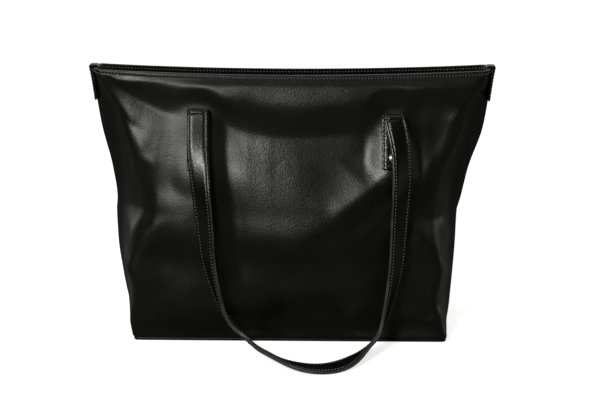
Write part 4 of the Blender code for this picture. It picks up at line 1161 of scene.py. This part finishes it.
def strap_fixings(side, face, x, hand):
    """Sewn end and fold of one strap, with their stitches, and its two rivets."""
    label = f"{face}_{hand}"
    half = STRAP_THICK / 2
    whole = strap_section(-half, half, True, True)
    lower = sewn_frames(side, x, hand)
    end = strap_piece(label + "_strap_sewn_end", lower, whole, 55.0)
    settle(end, "bag", "strap_leather", label + "_strap_end")
    over = fold_frames(side, x, hand)
    fold = strap_piece(label + "_strap_turn", over, whole, 60.0)
    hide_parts(label + "_strap_fold")
    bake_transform(fold)
    lift = half - GROOVE_DEPTH + THREAD_LIFT
    foot, edge, out = lower[0]
    rise = lower[1][0] - foot
    rise /= np.linalg.norm(rise)
    left, right = ([p + e * sign * STRAP_ROW + n * lift for p, e, n in lower[2:]] for sign in (-1, 1))
    bottom = [foot + rise * END_ROW + edge * a + out * lift for a in np.linspace(-STRAP_ROW, STRAP_ROW, 14)]
    normals = [n for p, e, n in lower[2:]]
    rows = [(left[::-1] + bottom + right, normals[::-1] + [out] * len(bottom) + normals)]
    stitches(label + "_sewn_end_stitches", rows, "bag")
    rows = [([p + e * a + n * lift for p, e, n in over], [n for p, e, n in over]) for a in (-STRAP_ROW, STRAP_ROW)]
    turned = stitches(label + "_turn_stitches", rows, None)
    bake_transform(turned)
    for where, height in zip(("lower", "upper"), RIVET_HEIGHTS):
        rivet(f"{label}_{where}", side, x + STRAP_SET[hand][0], height)


# Rivet: radius and height of its head, radius of its post, and radius, place and thickness of its tail
HEAD_RADIUS = 0.00425
HEAD_HEIGHT = 0.0022
POST_RADIUS = 0.0014
TAIL_RADIUS = 0.0032
TAIL_LEVEL = -0.0034
TAIL_THICK = 0.0006


def rivet(label, side, x, height):
    """Domed rivet with its post and tail, turned about its axis."""
    point, _, axis = frame_at(side, x, height)
    axis /= np.linalg.norm(axis)
    seat = STRAP_OUTER + 0.00010
    profile = [(0.0, seat + HEAD_HEIGHT)]
    for angle in np.linspace(0.12, 1.45, 12):
        dome = seat + 0.0004 + (HEAD_HEIGHT - 0.0004) * math.cos(angle)
        profile.append((HEAD_RADIUS * math.sin(angle), dome))
    profile += [(HEAD_RADIUS, seat + 0.0005), (HEAD_RADIUS, seat + 0.00012), (HEAD_RADIUS - 0.00015, seat),
                (POST_RADIUS, seat), (POST_RADIUS, TAIL_LEVEL), (TAIL_RADIUS, TAIL_LEVEL),
                (TAIL_RADIUS, TAIL_LEVEL - TAIL_THICK), (0.0, TAIL_LEVEL - TAIL_THICK)]
    helper = np.cross(axis, (0.0, 0.0, 1.0))
    helper /= np.linalg.norm(helper)
    other = np.cross(axis, helper)
    segments = 40
    points = [point + axis * profile[0][1]]
    for r, h in profile[1:-1]:
        points += [point + axis * h + (helper * c + other * s) * r for c, s in circle(segments)]
    points.append(point + axis * profile[-1][1])
    faces = []
    rings = len(profile) - 2
    for k in range(segments):
        n = (k + 1) % segments
        faces.append((0, 1 + k, 1 + n))
        for r in range(rings - 1):
            a = 1 + r * segments
            faces.append((a + k, a + segments + k, a + segments + n, a + n))
        last = 1 + (rings - 1) * segments
        faces.append((last + k, len(points) - 1, last + n))
    thing = new_piece(label + "_dome_rivet", points, faces, [finish("rivet_metal")], 38.0)
    return settle(thing, "bag", "rivet_metal", label + "_rivet")


# Rim ends, base and lining

TAB_THICK = 0.0012
TAB_HALF = 0.0065
TAB_LENGTH = 0.038
TAB_INNER_LENGTH = 0.010
TAB_BOW = 0.0021
TAB_TIP = 0.0068
# Distance of the tab's stitches from its edge, and the radius of their turn round its end
TAB_MARGIN = 0.0026
ROW_TIP = 0.0048
# Distances from its lower end between which its bow fades out, how far its thread stands up, and where its row ends
BOW_FADE = (0.042, 0.014)
TAB_THREAD_LIFT = 0.00022
ROW_SHORT = 0.0008


def mouth_end_x(aside, height):
    """How far along the mouth a piece reaches before it meets the end walls."""
    slope = through(SIDE_SET[1], height) / through(HALF_DEPTH, height)
    wall = FACING_INNER * math.hypot(1.0, slope)
    return float(through(SEAM[1], height) - wall - slope * aside - 2 * GAP)


def tab_line():
    """Middle line of the right-hand tab, from its lower end over the rim to its inner end: (x, z)."""
    half = TAB_THICK / 2
    places = []
    for height in np.linspace(BAG_HEIGHT - TAB_LENGTH, BAG_HEIGHT - 0.0005, 12):
        places.append((float(through(SEAM[1], height)) + GAP + half, height))
    inner = mouth_end_x(TAB_HALF, BAG_HEIGHT) + GAP
    places.append((places[-1][0] + 0.0001, BAG_HEIGHT + GAP + half))
    places.append((inner - half, BAG_HEIGHT + GAP + half))
    low = BAG_HEIGHT - TAB_INNER_LENGTH
    places.append((mouth_end_x(TAB_HALF, low) + GAP - half, low))
    places = np.array(places)
    knots = np.concatenate([[0.0], np.cumsum(np.linalg.norm(np.diff(places, axis=0), axis=1))])
    where = np.linspace(0.0, knots[-1], 150)
    line = np.stack([np.interp(where, knots, places[:, k]) for k in (0, 1)], axis=1)
    return relaxed(line, 8), where


def tab_half_width(distance, half, radius):
    """Half width of a tab at one distance from its rounded lower end."""
    return half - radius * edge_roll(distance / radius)


def side_tab(sign, hand):
    """Leather tab folded over one end of the rim. Gives the row of the stitches round its edge."""
    line, where = tab_line()
    points = np.column_stack([sign * line[:, 0], np.zeros(len(line)), line[:, 1]])
    tangent = np.gradient(points, axis=0)
    tangent /= np.linalg.norm(tangent, axis=1, keepdims=True)
    edge = np.array((0.0, 1.0, 0.0))
    normals = np.cross(edge, tangent) * sign
    half = TAB_THICK / 2
    section = strap_section(-half, half, True, True)
    scale = TAB_HALF / (STRAP_WIDTH / 2)

    def place(k, across, lift):
        """Point on the tab, which bows inwards at its sides."""
        bow = TAB_BOW * smoothstep(*BOW_FADE, where[k])
        return points[k] + edge * across + normals[k] * (lift - bow * (across / TAB_HALF) ** 2)

    rings = []
    for k, s in enumerate(where):
        width = tab_half_width(s, TAB_HALF, TAB_TIP) / TAB_HALF
        rings.append([place(k, a * scale * width, b) for a, b in section])
    tab = loft(hand + "_rim_tab", rings, [finish("trim_leather")], 60.0)
    settle(tab, "bag", "bag_leather", hand + "_side_tab")
    lift = half - GROOVE_DEPTH + TAB_THREAD_LIFT
    reach = [k for k, s in enumerate(where) if TAB_MARGIN < s < TAB_LENGTH - ROW_SHORT]
    widths = [tab_half_width(where[k] - TAB_MARGIN, TAB_HALF - TAB_MARGIN, ROW_TIP) for k in reach]
    path = [(k, -w) for k, w in zip(reach[::-1], widths[::-1])] + list(zip(reach, widths))
    return [place(k, a, lift) for k, a in path], [normals[k] for k, a in path]


def ring_round(columns, height, inset):
    """Points once round the bag. height and inset are numbers, or take the places along the wall."""
    made = []
    for side, ends in ((FRONT, (-1.0, 1.0)), (BACK, (1.0, -1.0))):
        along = np.linspace(*ends, columns + 1)[:-1]
        high = height(along) if callable(height) else np.full(along.shape, height)
        deep = inset(side, along) if callable(inset) else np.full(along.shape, inset)
        points = skin(side, along, high, deep)[0]
        points[0, 1] = 0.0
        made.append(points)
    return np.concatenate(made)


# Edge of the base leather: (height, distance behind the wall)
BASE_PROFILE = ((0.0, 0.0021), (0.00012, 0.0017), (0.0004, 0.0014), (0.0009, 0.0012), (0.0016, 0.0011),
                (0.0023, 0.0012), (0.0028, 0.0014), (0.0031, 0.0017), (BASE_THICK, 0.0022))


def base_leather():
    """Base of the bag: thick leather with a rounded edge."""
    rings = []
    for z, inset in BASE_PROFILE:
        ring = ring_round(150, PANEL_BOTTOM, inset)
        ring[:, 2] = z
        rings.append(ring)
    thing = loft("base_leather", rings, [finish("trim_leather")], 50.0)
    return settle(thing, "bag", "bag_leather", "base_panel")


def lining_bag():
    """Woven lining, one open bag inside the leather."""
    columns, rows = 110, 38
    shares = np.linspace(0.0, 1.0, rows)

    def ring(share, thick):
        def height(along):
            return LINING_BOTTOM + share * (rim_height(along) - FACING_HEIGHT + LINING_LAP - LINING_BOTTOM)

        def inset(side, along):
            slack = 0.0011 * (1 + np.sin(along * 19.0 + side + 5.0 * share)) * math.sin(math.pi * share)
            return LINING_INSET + thick + slack * smoothstep(1.0, 0.93, np.abs(along))

        return ring_round(columns, height, inset)

    outer = [ring(share, 0.0) for share in shares]
    inner = [ring(share, LINING_THICK) for share in shares[::-1]]
    inner[-1][:, 2] = LINING_BOTTOM + LINING_THICK
    thing = loft("woven_lining", outer + inner, [finish("lining_cloth")], 50.0)
    settle(thing, "bag", "lining_cloth", "lining")
    return thing


# Zip


def bar(name, low, high, radius, materials, step=0.003):
    """Straight bar along x with rounded long edges and soft ends."""
    corners = ((high[1], high[2], 0), (low[1], high[2], 1), (low[1], low[2], 2), (high[1], low[2], 3))
    radius = min(radius, (high[2] - low[2]) / 2.01, (high[1] - low[1]) / 2.01)

    def section(shrink):
        ring = []
        for y, z, quarter_turn in corners:
            cy = y - math.copysign(radius, y - (low[1] + high[1]) / 2)
            cz = z - math.copysign(radius, z - (low[2] + high[2]) / 2)
            for t in np.linspace(0.0, math.pi / 2, 5):
                angle = quarter_turn * math.pi / 2 + t
                ring.append((cy + (radius - shrink) * math.cos(angle), cz + (radius - shrink) * math.sin(angle)))
        return ring

    rings = []
    stations = [(low[0], 0.6 * radius), (low[0] + 0.4 * radius, 0.15 * radius)]
    count = max(2, int((high[0] - low[0]) / step))
    stations += [(x, 0.0) for x in np.linspace(low[0] + radius, high[0] - radius, count)]
    stations += [(high[0] - 0.4 * radius, 0.15 * radius), (high[0], 0.6 * radius)]
    for x, shrink in stations:
        rings.append([(x, y, z) for y, z in section(shrink)])
    return loft(name, rings, materials, 50.0)


# A tooth of the coil from tip to root: (share of its length, share of its size)
TOOTH_SHAPE = ((0.0, 0.55), (0.12, 0.85), (0.45, 1.0), (0.82, 1.0), (1.0, 0.72))
# Its share of the pitch, its length, its height along the zip and at the zip's fixed ends, and its set off the middle
TOOTH_SHARE = 0.86
TOOTH_LENGTH = 0.0026
TOOTH_HEIGHT = 0.0021
END_TOOTH_HEIGHT = 0.0026
TOOTH_ASIDE = 0.00012
# Row of stitches on the zip's leather strips: distance from the middle, pitch and half the thread's thickness
STRIP_ROW = 0.0065 + 0.0022
STRIP_PITCH = 0.0036
STRIP_THREAD = 0.00027


def tooth_piece(width, length, height):
    """One loop of a nylon zip coil, lying across the chain."""
    rings = []
    for share, size in TOOTH_SHAPE:
        rings.append([(c * width / 2 * size, share * length, s * height / 2 * size) for c, s in circle(8)])
    return loft("tooth_pattern", rings, [])


def teeth(name, x_low, x_high, side, level, body, height=TOOTH_HEIGHT):
    """Coil of zip teeth on one side of the chain."""
    pitch = bpy.context.scene.tote.tooth_pitch
    pattern = tooth_piece(pitch * TOOTH_SHARE, TOOTH_LENGTH, height)
    x = np.linspace(x_low, x_high, max(2, int((x_high - x_low) / 0.004)))
    if side == FRONT:
        x = x[::-1] + pitch / 2
    places = np.column_stack([x, np.full(len(x), side * TOOTH_ASIDE), np.full(len(x), level)])
    row = (places, np.tile((0.0, 0.0, 1.0), (len(x), 1)))
    made = repeat(name, [row], pattern, pitch, finish("coil_nylon"), 0.02)
    bpy.data.objects.remove(pattern, do_unlink=True)
    return settle(made, body, "coil_nylon")


def zip_half(side, label):
    """Leather strip, woven tape and coil on one side of the zip."""
    body = f"zip_{label}_half"
    low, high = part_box(f"zip_{label}_strip")
    strip = bar(f"zip_{label}_leather_strip", low, high, 0.00055, [finish("trim_leather")])
    settle(strip, body, "bag_leather", f"zip_{label}_strip")
    x = np.linspace(low[0] + 0.002, high[0] - 0.002, 120)
    up = np.tile((0.0, 0.0, 1.0), (len(x), 1))
    rows = [(np.column_stack([x, np.full(len(x), side * STRIP_ROW), np.full(len(x), high[2] + 0.0001)]), up)]
    stitches(f"zip_{label}_stitches", rows, body, "bag_leather", STRIP_PITCH, STRIP_THREAD)
    low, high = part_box(f"zip_{label}_tape")
    tape = bar(f"zip_{label}_woven_tape", low, high, 0.00028, [finish("zip_tape_cloth")])
    settle(tape, body, "zip_cloth", f"zip_{label}_tape")
    low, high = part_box(f"zip_{label}_coil")
    coil = teeth(f"zip_{label}_teeth", low[0], high[0] - 0.0010, side, (low[2] + high[2]) / 2, body)
    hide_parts(f"zip_{label}_coil")


def model_copy(name, node, materials, width, segments=2):
    """Copy of one of the model's pieces with its edges eased."""
    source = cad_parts[node]
    mesh = source.data.copy()
    mesh.name = name
    mesh.materials.clear()
    for material in materials:
        mesh.materials.append(material)
    work = bmesh.new()
    work.from_mesh(mesh)
    bmesh.ops.remove_doubles(work, verts=work.verts, dist=1e-6)
    bmesh.ops.dissolve_limit(work, angle_limit=0.01, verts=work.verts, edges=work.edges)
    sharp = [e for e in work.edges if len(e.link_faces) == 2 and e.calc_face_angle(0.0) > 0.5]
    bmesh.ops.bevel(work, geom=sharp, offset=width, segments=segments, profile=0.6, affect="EDGES", clamp_overlap=True)
    bmesh.ops.recalc_face_normals(work, faces=work.faces)
    work.to_mesh(mesh)
    work.free()
    smoothed(mesh, 35.0)
    return placed(name, mesh)


def zip_end(hand):
    """Fixed end of the zip: woven tape with its shut chain."""
    node = f"zip_{hand}_end"
    tape = model_copy(f"zip_{hand}_sewn_end", node, [finish("zip_tape_cloth")], 0.00012, 1)
    settle(tape, "bag", "zip_cloth", node)
    low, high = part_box("zip_front_coil")
    span = (high[0] + 0.0008, high[0] + 0.0060) if hand == "right" else (low[0] - 0.0060, low[0] - 0.0012)
    for side, label in FACES:
        teeth(f"zip_{hand}_end_{label}_teeth", *span, side, (low[2] + high[2]) / 2, "bag", END_TOOTH_HEIGHT)


# Stage


def blend_by_rays(tree, seen, hidden, rays):
    """One shader for the named rays and another for the rest."""
    path = tree.nodes.new("ShaderNodeLightPath")
    total = path.outputs[rays[0]]
    for ray in rays[1:]:
        either = node_of(tree, "ShaderNodeMath", {}, operation="MAXIMUM")
        tree.links.new(total, either.inputs[0])
        tree.links.new(path.outputs[ray], either.inputs[1])
        total = either.outputs[0]
    mix = tree.nodes.new("ShaderNodeMixShader")
    for source, target in zip((total, hidden, seen), mix.inputs):
        tree.links.new(source, target)
    return mix.outputs[0]


def backdrop_world(look):
    """White to the camera, and for reflections white only low down behind the bag, as a studio sweep is."""
    world = bpy.data.worlds.new("studio")
    bpy.context.scene.world = world
    world.use_nodes = True
    tree = world.node_tree
    tree.nodes.clear()
    link = tree.links.new

    def light(colour, strength):
        return node_of(tree, "ShaderNodeBackground", {"Color": (*colour, 1.0), "Strength": strength})

    def ramp(source, limits, kind):
        node = node_of(tree, "ShaderNodeMapRange", limits, interpolation_type=kind)
        link(source, node.inputs["Value"])
        return node.outputs["Result"]

    parts = tree.nodes.new("ShaderNodeSeparateXYZ")
    link(tree.nodes.new("ShaderNodeTexCoord").outputs["Generated"], parts.inputs[0])
    both = node_of(tree, "ShaderNodeMath", {}, operation="MULTIPLY")
    link(ramp(parts.outputs["Y"], {"From Min": 0.05, "From Max": 0.45}, "SMOOTHSTEP"), both.inputs[0])
    link(ramp(parts.outputs["Z"], {"From Min": 0.75, "From Max": 0.30}, "SMOOTHSTEP"), both.inputs[1])
    mirrored = light((0.97, 1.0, 0.90), 1.0)
    link(ramp(both.outputs[0], {"To Min": look.room_dark, "To Max": 0.9}, "LINEAR"), mirrored.inputs["Strength"])
    white, soft = light((1.0, 1.0, 1.0), 1.0), light((1.0, 1.0, 1.0), look.room_light)
    inner = blend_by_rays(tree, mirrored.outputs[0], soft.outputs[0], ("Is Glossy Ray", "Is Transmission Ray"))
    shown = blend_by_rays(tree, white.outputs[0], inner, ("Is Camera Ray",))
    link(shown, tree.nodes.new("ShaderNodeOutputWorld").inputs["Surface"])


# The floor lies just under the bag's base
FLOOR_HALF = 4.0
FLOOR_LEVEL = -0.0004


def floor(look):
    """Plain pale floor that keeps the bag's shadow, and that lets the bag's underside be seen from below."""
    mesh = bpy.data.meshes.new("floor")
    corners = [(x * FLOOR_HALF, y * FLOOR_HALF, FLOOR_LEVEL) for x, y in ((-1, -1), (1, -1), (1, 1), (-1, 1))]
    mesh.from_pydata(corners, [], [(0, 1, 2, 3)])
    thing = placed("floor", mesh)
    material = bpy.data.materials.new("pale_floor")
    material.use_nodes = True
    tree = material.node_tree
    tree.nodes.clear()
    new, link = tree.nodes.new, tree.links.new
    pale = node_of(tree, "ShaderNodeBsdfDiffuse", {"Color": (0.92, 0.92, 0.92, 1.0)})
    lift = node_of(tree, "ShaderNodeEmission", {"Strength": look.floor_lift})
    lifted = new("ShaderNodeAddShader")
    link(pale.outputs[0], lifted.inputs[0])
    link(lift.outputs[0], lifted.inputs[1])
    bounce = look.floor_bounce
    dim = node_of(tree, "ShaderNodeBsdfDiffuse", {"Color": (bounce * 0.97, bounce, bounce * 0.90, 1.0)})
    above = blend_by_rays(tree, lifted.outputs[0], dim.outputs[0], ("Is Camera Ray",))
    from_below = new("ShaderNodeNewGeometry").outputs["Backfacing"]
    sides = new("ShaderNodeMixShader")
    for source, target in zip((from_below, above, new("ShaderNodeBsdfTransparent").outputs[0]), sides.inputs):
        link(source, target)
    link(sides.outputs[0], new("ShaderNodeOutputMaterial").inputs["Surface"])
    mesh.materials.append(material)


def lamp(name, place, aim, size, power):
    """Soft rectangular lamp that points at a place."""
    light = bpy.data.lights.new(name, "AREA")
    light.color = (0.985, 1.0, 0.945)
    light.shape = "RECTANGLE"
    light.size, light.size_y = size
    light.energy = power
    thing = placed(name, light)
    thing.location = place
    thing.rotation_euler = (Vector(aim) - Vector(place)).to_track_quat("-Z", "Y").to_euler()


def camera():
    """Camera at the photograph's viewing angle."""
    lens = bpy.data.cameras.new("camera")
    lens.lens = 85.0
    lens.sensor_width = 36.0
    lens.clip_start = 0.05
    thing = placed("camera", lens)
    thing.location = (0.0369, -1.4961, 0.575)
    thing.rotation_euler = (math.pi / 2 - 0.2819, 0.0, 0.0189)
    bpy.context.scene.camera = thing


# Add-on


def colour(label, about, value):
    return FloatVectorProperty(name=label, description=about, default=value, subtype="COLOR", min=0.0, max=1.0)


def size(label, about, value):
    return FloatProperty(name=label, description=about, default=value, unit="LENGTH", precision=4)


def amount(label, about, value):
    return FloatProperty(name=label, description=about, default=value, min=0.0)


class ToteLook(bpy.types.PropertyGroup):
    leather_colour: colour("Leather", "Colour of the walls and trim", (0.0035, 0.0036, 0.0029))
    strap_colour: colour("Straps", "Colour of the handles", (0.0030, 0.0031, 0.0026))
    lining_colour: colour("Lining", "Colour of the lining", (0.035, 0.034, 0.034))
    tape_colour: colour("Zip tape", "Colour of the zip's cloth and nylon", (0.012, 0.012, 0.013))
    # Painted edges: grey, far paler than the leather, partly the paint's colour and partly a painted highlight along
    # the straps' edges
    pale_edge_highlight_colour: colour("Painted edges", "Colour of the straps' painted edges", (0.045, 0.046, 0.042))
    # Thread: the waxed black thread lifted to grey, a painted highlight that stands in for its sheen
    thread_sheen_colour: colour("Thread", "Colour of the stitches", (0.15, 0.15, 0.135))
    metal_colour: colour("Metal", "Colour of the rivets and the slider", (0.62, 0.62, 0.63))
    leather_roughness: amount("Leather roughness", "How matt the leather is", 0.35)
    stitch_pitch: size("Stitch pitch", "Distance from stitch to stitch", 0.0034)
    thread_radius: size("Thread radius", "Half the thread's thickness", 0.00050)
    tooth_pitch: size("Tooth pitch", "Distance from tooth to tooth of the zip", 0.0015)
    room_light: amount("Room light", "Strength of the light from all round", 0.30)
    room_dark: amount("Room reflection", "How bright the dark side of the room looks in reflections", 0.016)
    floor_lift: amount("Floor lift", "Light that the floor adds of its own for the camera", 0.70)
    floor_bounce: amount("Floor bounce", "How pale the floor is for all but the camera", 0.15)
    key_power: amount("Key lamp", "Power of the large lamp at the upper left", 35.0)
    top_power: amount("Top lamp", "Power of the lamp above", 3.0)
    fill_power: amount("Fill lamp", "Power of the lamp on the right", 1.0)


class TOTE_OT_walls(bpy.types.Operator):
    """Makes the front and back leather walls with their folds."""

    bl_idname = "tote.walls"
    bl_label = "Leather walls"

    def execute(self, context):
        for side, face in FACES:
            wall_panel(side, face)
        return {"FINISHED"}


class TOTE_OT_rim(bpy.types.Operator):
    """Makes the facing strips inside the rim, and the stitches along the rim."""

    bl_idname = "tote.rim"
    bl_label = "Rim"

    def execute(self, context):
        for side, face in FACES:
            rim_band(side, face)
            out_lift = GROOVE_DEPTH - 0.00018
            rows = [rim_rows(side, out_lift, 1.0, 0.022), rim_rows(side, FACING_INNER - out_lift, -1.0, 0.05)]
            stitches(face + "_rim_stitches", rows, "bag", "bag_leather")
        return {"FINISHED"}


class TOTE_OT_base(bpy.types.Operator):
    """Makes the base leather."""

    bl_idname = "tote.base"
    bl_label = "Base"

    def execute(self, context):
        base_leather()
        return {"FINISHED"}


class TOTE_OT_lining(bpy.types.Operator):
    """Makes the woven lining."""

    bl_idname = "tote.lining"
    bl_label = "Lining"

    def execute(self, context):
        lining_bag()
        return {"FINISHED"}


class TOTE_OT_tabs(bpy.types.Operator):
    """Makes the tabs over the rim's ends."""

    bl_idname = "tote.tabs"
    bl_label = "Rim tabs"

    def execute(self, context):
        for sign, hand in ((-1.0, "left"), (1.0, "right")):
            stitches(hand + "_tab_stitches", [side_tab(sign, hand)], "bag", "bag_leather", 0.0034)
        return {"FINISHED"}


class TOTE_OT_handles(bpy.types.Operator):
    """Makes the two hanging handles, each of two leather layers sewn along both edges."""

    bl_idname = "tote.handles"
    bl_label = "Handles"

    def execute(self, context):
        for side, face in FACES:
            handle_layers(side, face)
        return {"FINISHED"}


class TOTE_OT_fixings(bpy.types.Operator):
    """Makes the sewn strap ends, their folds and the rivets."""

    bl_idname = "tote.fixings"
    bl_label = "Strap ends and rivets"

    def execute(self, context):
        for side, face in FACES:
            for x, hand in STRAP_PLACES:
                strap_fixings(side, face, x, hand)
        return {"FINISHED"}


class TOTE_OT_zip(bpy.types.Operator):
    """Makes the two halves of the zip and its fixed ends."""

    bl_idname = "tote.zip"
    bl_label = "Zip"

    def execute(self, context):
        for side, label in FACES:
            zip_half(side, label)
        for hand in ("left", "right"):
            zip_end(hand)
        return {"FINISHED"}


class TOTE_OT_slider(bpy.types.Operator):
    """Makes the zip's slider and pull."""

    bl_idname = "tote.slider"
    bl_label = "Slider and pull"

    def execute(self, context):
        slider = model_copy("zip_slider_body", "zip_slider", [finish("zip_metal")], 0.00030)
        settle(slider, "slider", "zip_metal", "zip_slider")
        pull = model_copy("zip_pull_tab", "zip_pull", [finish("zip_metal")], 0.00032)
        settle(pull, "pull", "zip_metal", "zip_pull")
        return {"FINISHED"}


class TOTE_OT_inside(bpy.types.Operator):
    """Finishes the board and the patches that stay as the model has them."""

    bl_idname = "tote.inside"
    bl_label = "Board and patches"

    def execute(self, context):
        kept = {"base_board": "board_fibre"}
        for face in ("front", "back"):
            for hand in ("left", "right"):
                kept[f"{face}_{hand}_rivet_patch"] = "trim_leather"
        for node, name in kept.items():
            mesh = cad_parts[node].data
            mesh.materials.clear()
            mesh.materials.append(finish(name))
        return {"FINISHED"}


class TOTE_OT_stage(bpy.types.Operator):
    """Makes the floor, the light and the camera."""

    bl_idname = "tote.stage"
    bl_label = "Stage"

    def execute(self, context):
        look = context.scene.tote
        floor(look)
        backdrop_world(look)
        lamp("key_lamp", (-1.03, -2.13, 1.65), (0.0, 0.0, 0.15), (0.56, 0.36), look.key_power)
        lamp("top_lamp", (0.1, 0.1, 1.7), (0.0, 0.0, 0.1), (1.4, 1.0), look.top_power)
        lamp("fill_lamp", (1.5, -0.7, 0.9), (0.0, 0.0, 0.15), (0.9, 0.9), look.fill_power)
        camera()
        context.scene.view_settings.view_transform = "Standard"
        return {"FINISHED"}


OPERATORS = (
    TOTE_OT_walls, TOTE_OT_rim, TOTE_OT_base, TOTE_OT_lining, TOTE_OT_tabs, TOTE_OT_handles, TOTE_OT_fixings,
    TOTE_OT_zip, TOTE_OT_slider, TOTE_OT_inside, TOTE_OT_stage,
)


class TOTE_PT_pieces(bpy.types.Panel):
    """Lists the bag's pieces."""

    bl_idname = "TOTE_PT_pieces"
    bl_label = "Leather tote bag"
    bl_space_type = "VIEW_3D"
    bl_region_type = "UI"
    bl_category = "Tote"

    def draw(self, context):
        column = self.layout.column(align=True)
        for operator in OPERATORS:
            column.operator(operator.bl_idname)
        for name in ToteLook.__annotations__:
            self.layout.prop(context.scene.tote, name)


CLASSES = (ToteLook, *OPERATORS, TOTE_PT_pieces)


def register():
    for item in CLASSES:
        bpy.utils.register_class(item)
    bpy.types.Scene.tote = PointerProperty(type=ToteLook)


def unregister():
    del bpy.types.Scene.tote
    for item in reversed(CLASSES):
        bpy.utils.unregister_class(item)


def main():
    """Makes the whole bag and its stage."""
    register()
    for operator in OPERATORS:
        area, name = operator.bl_idname.split(".")
        getattr(getattr(bpy.ops, area), name)()


if __name__ == "__main__":
    main()
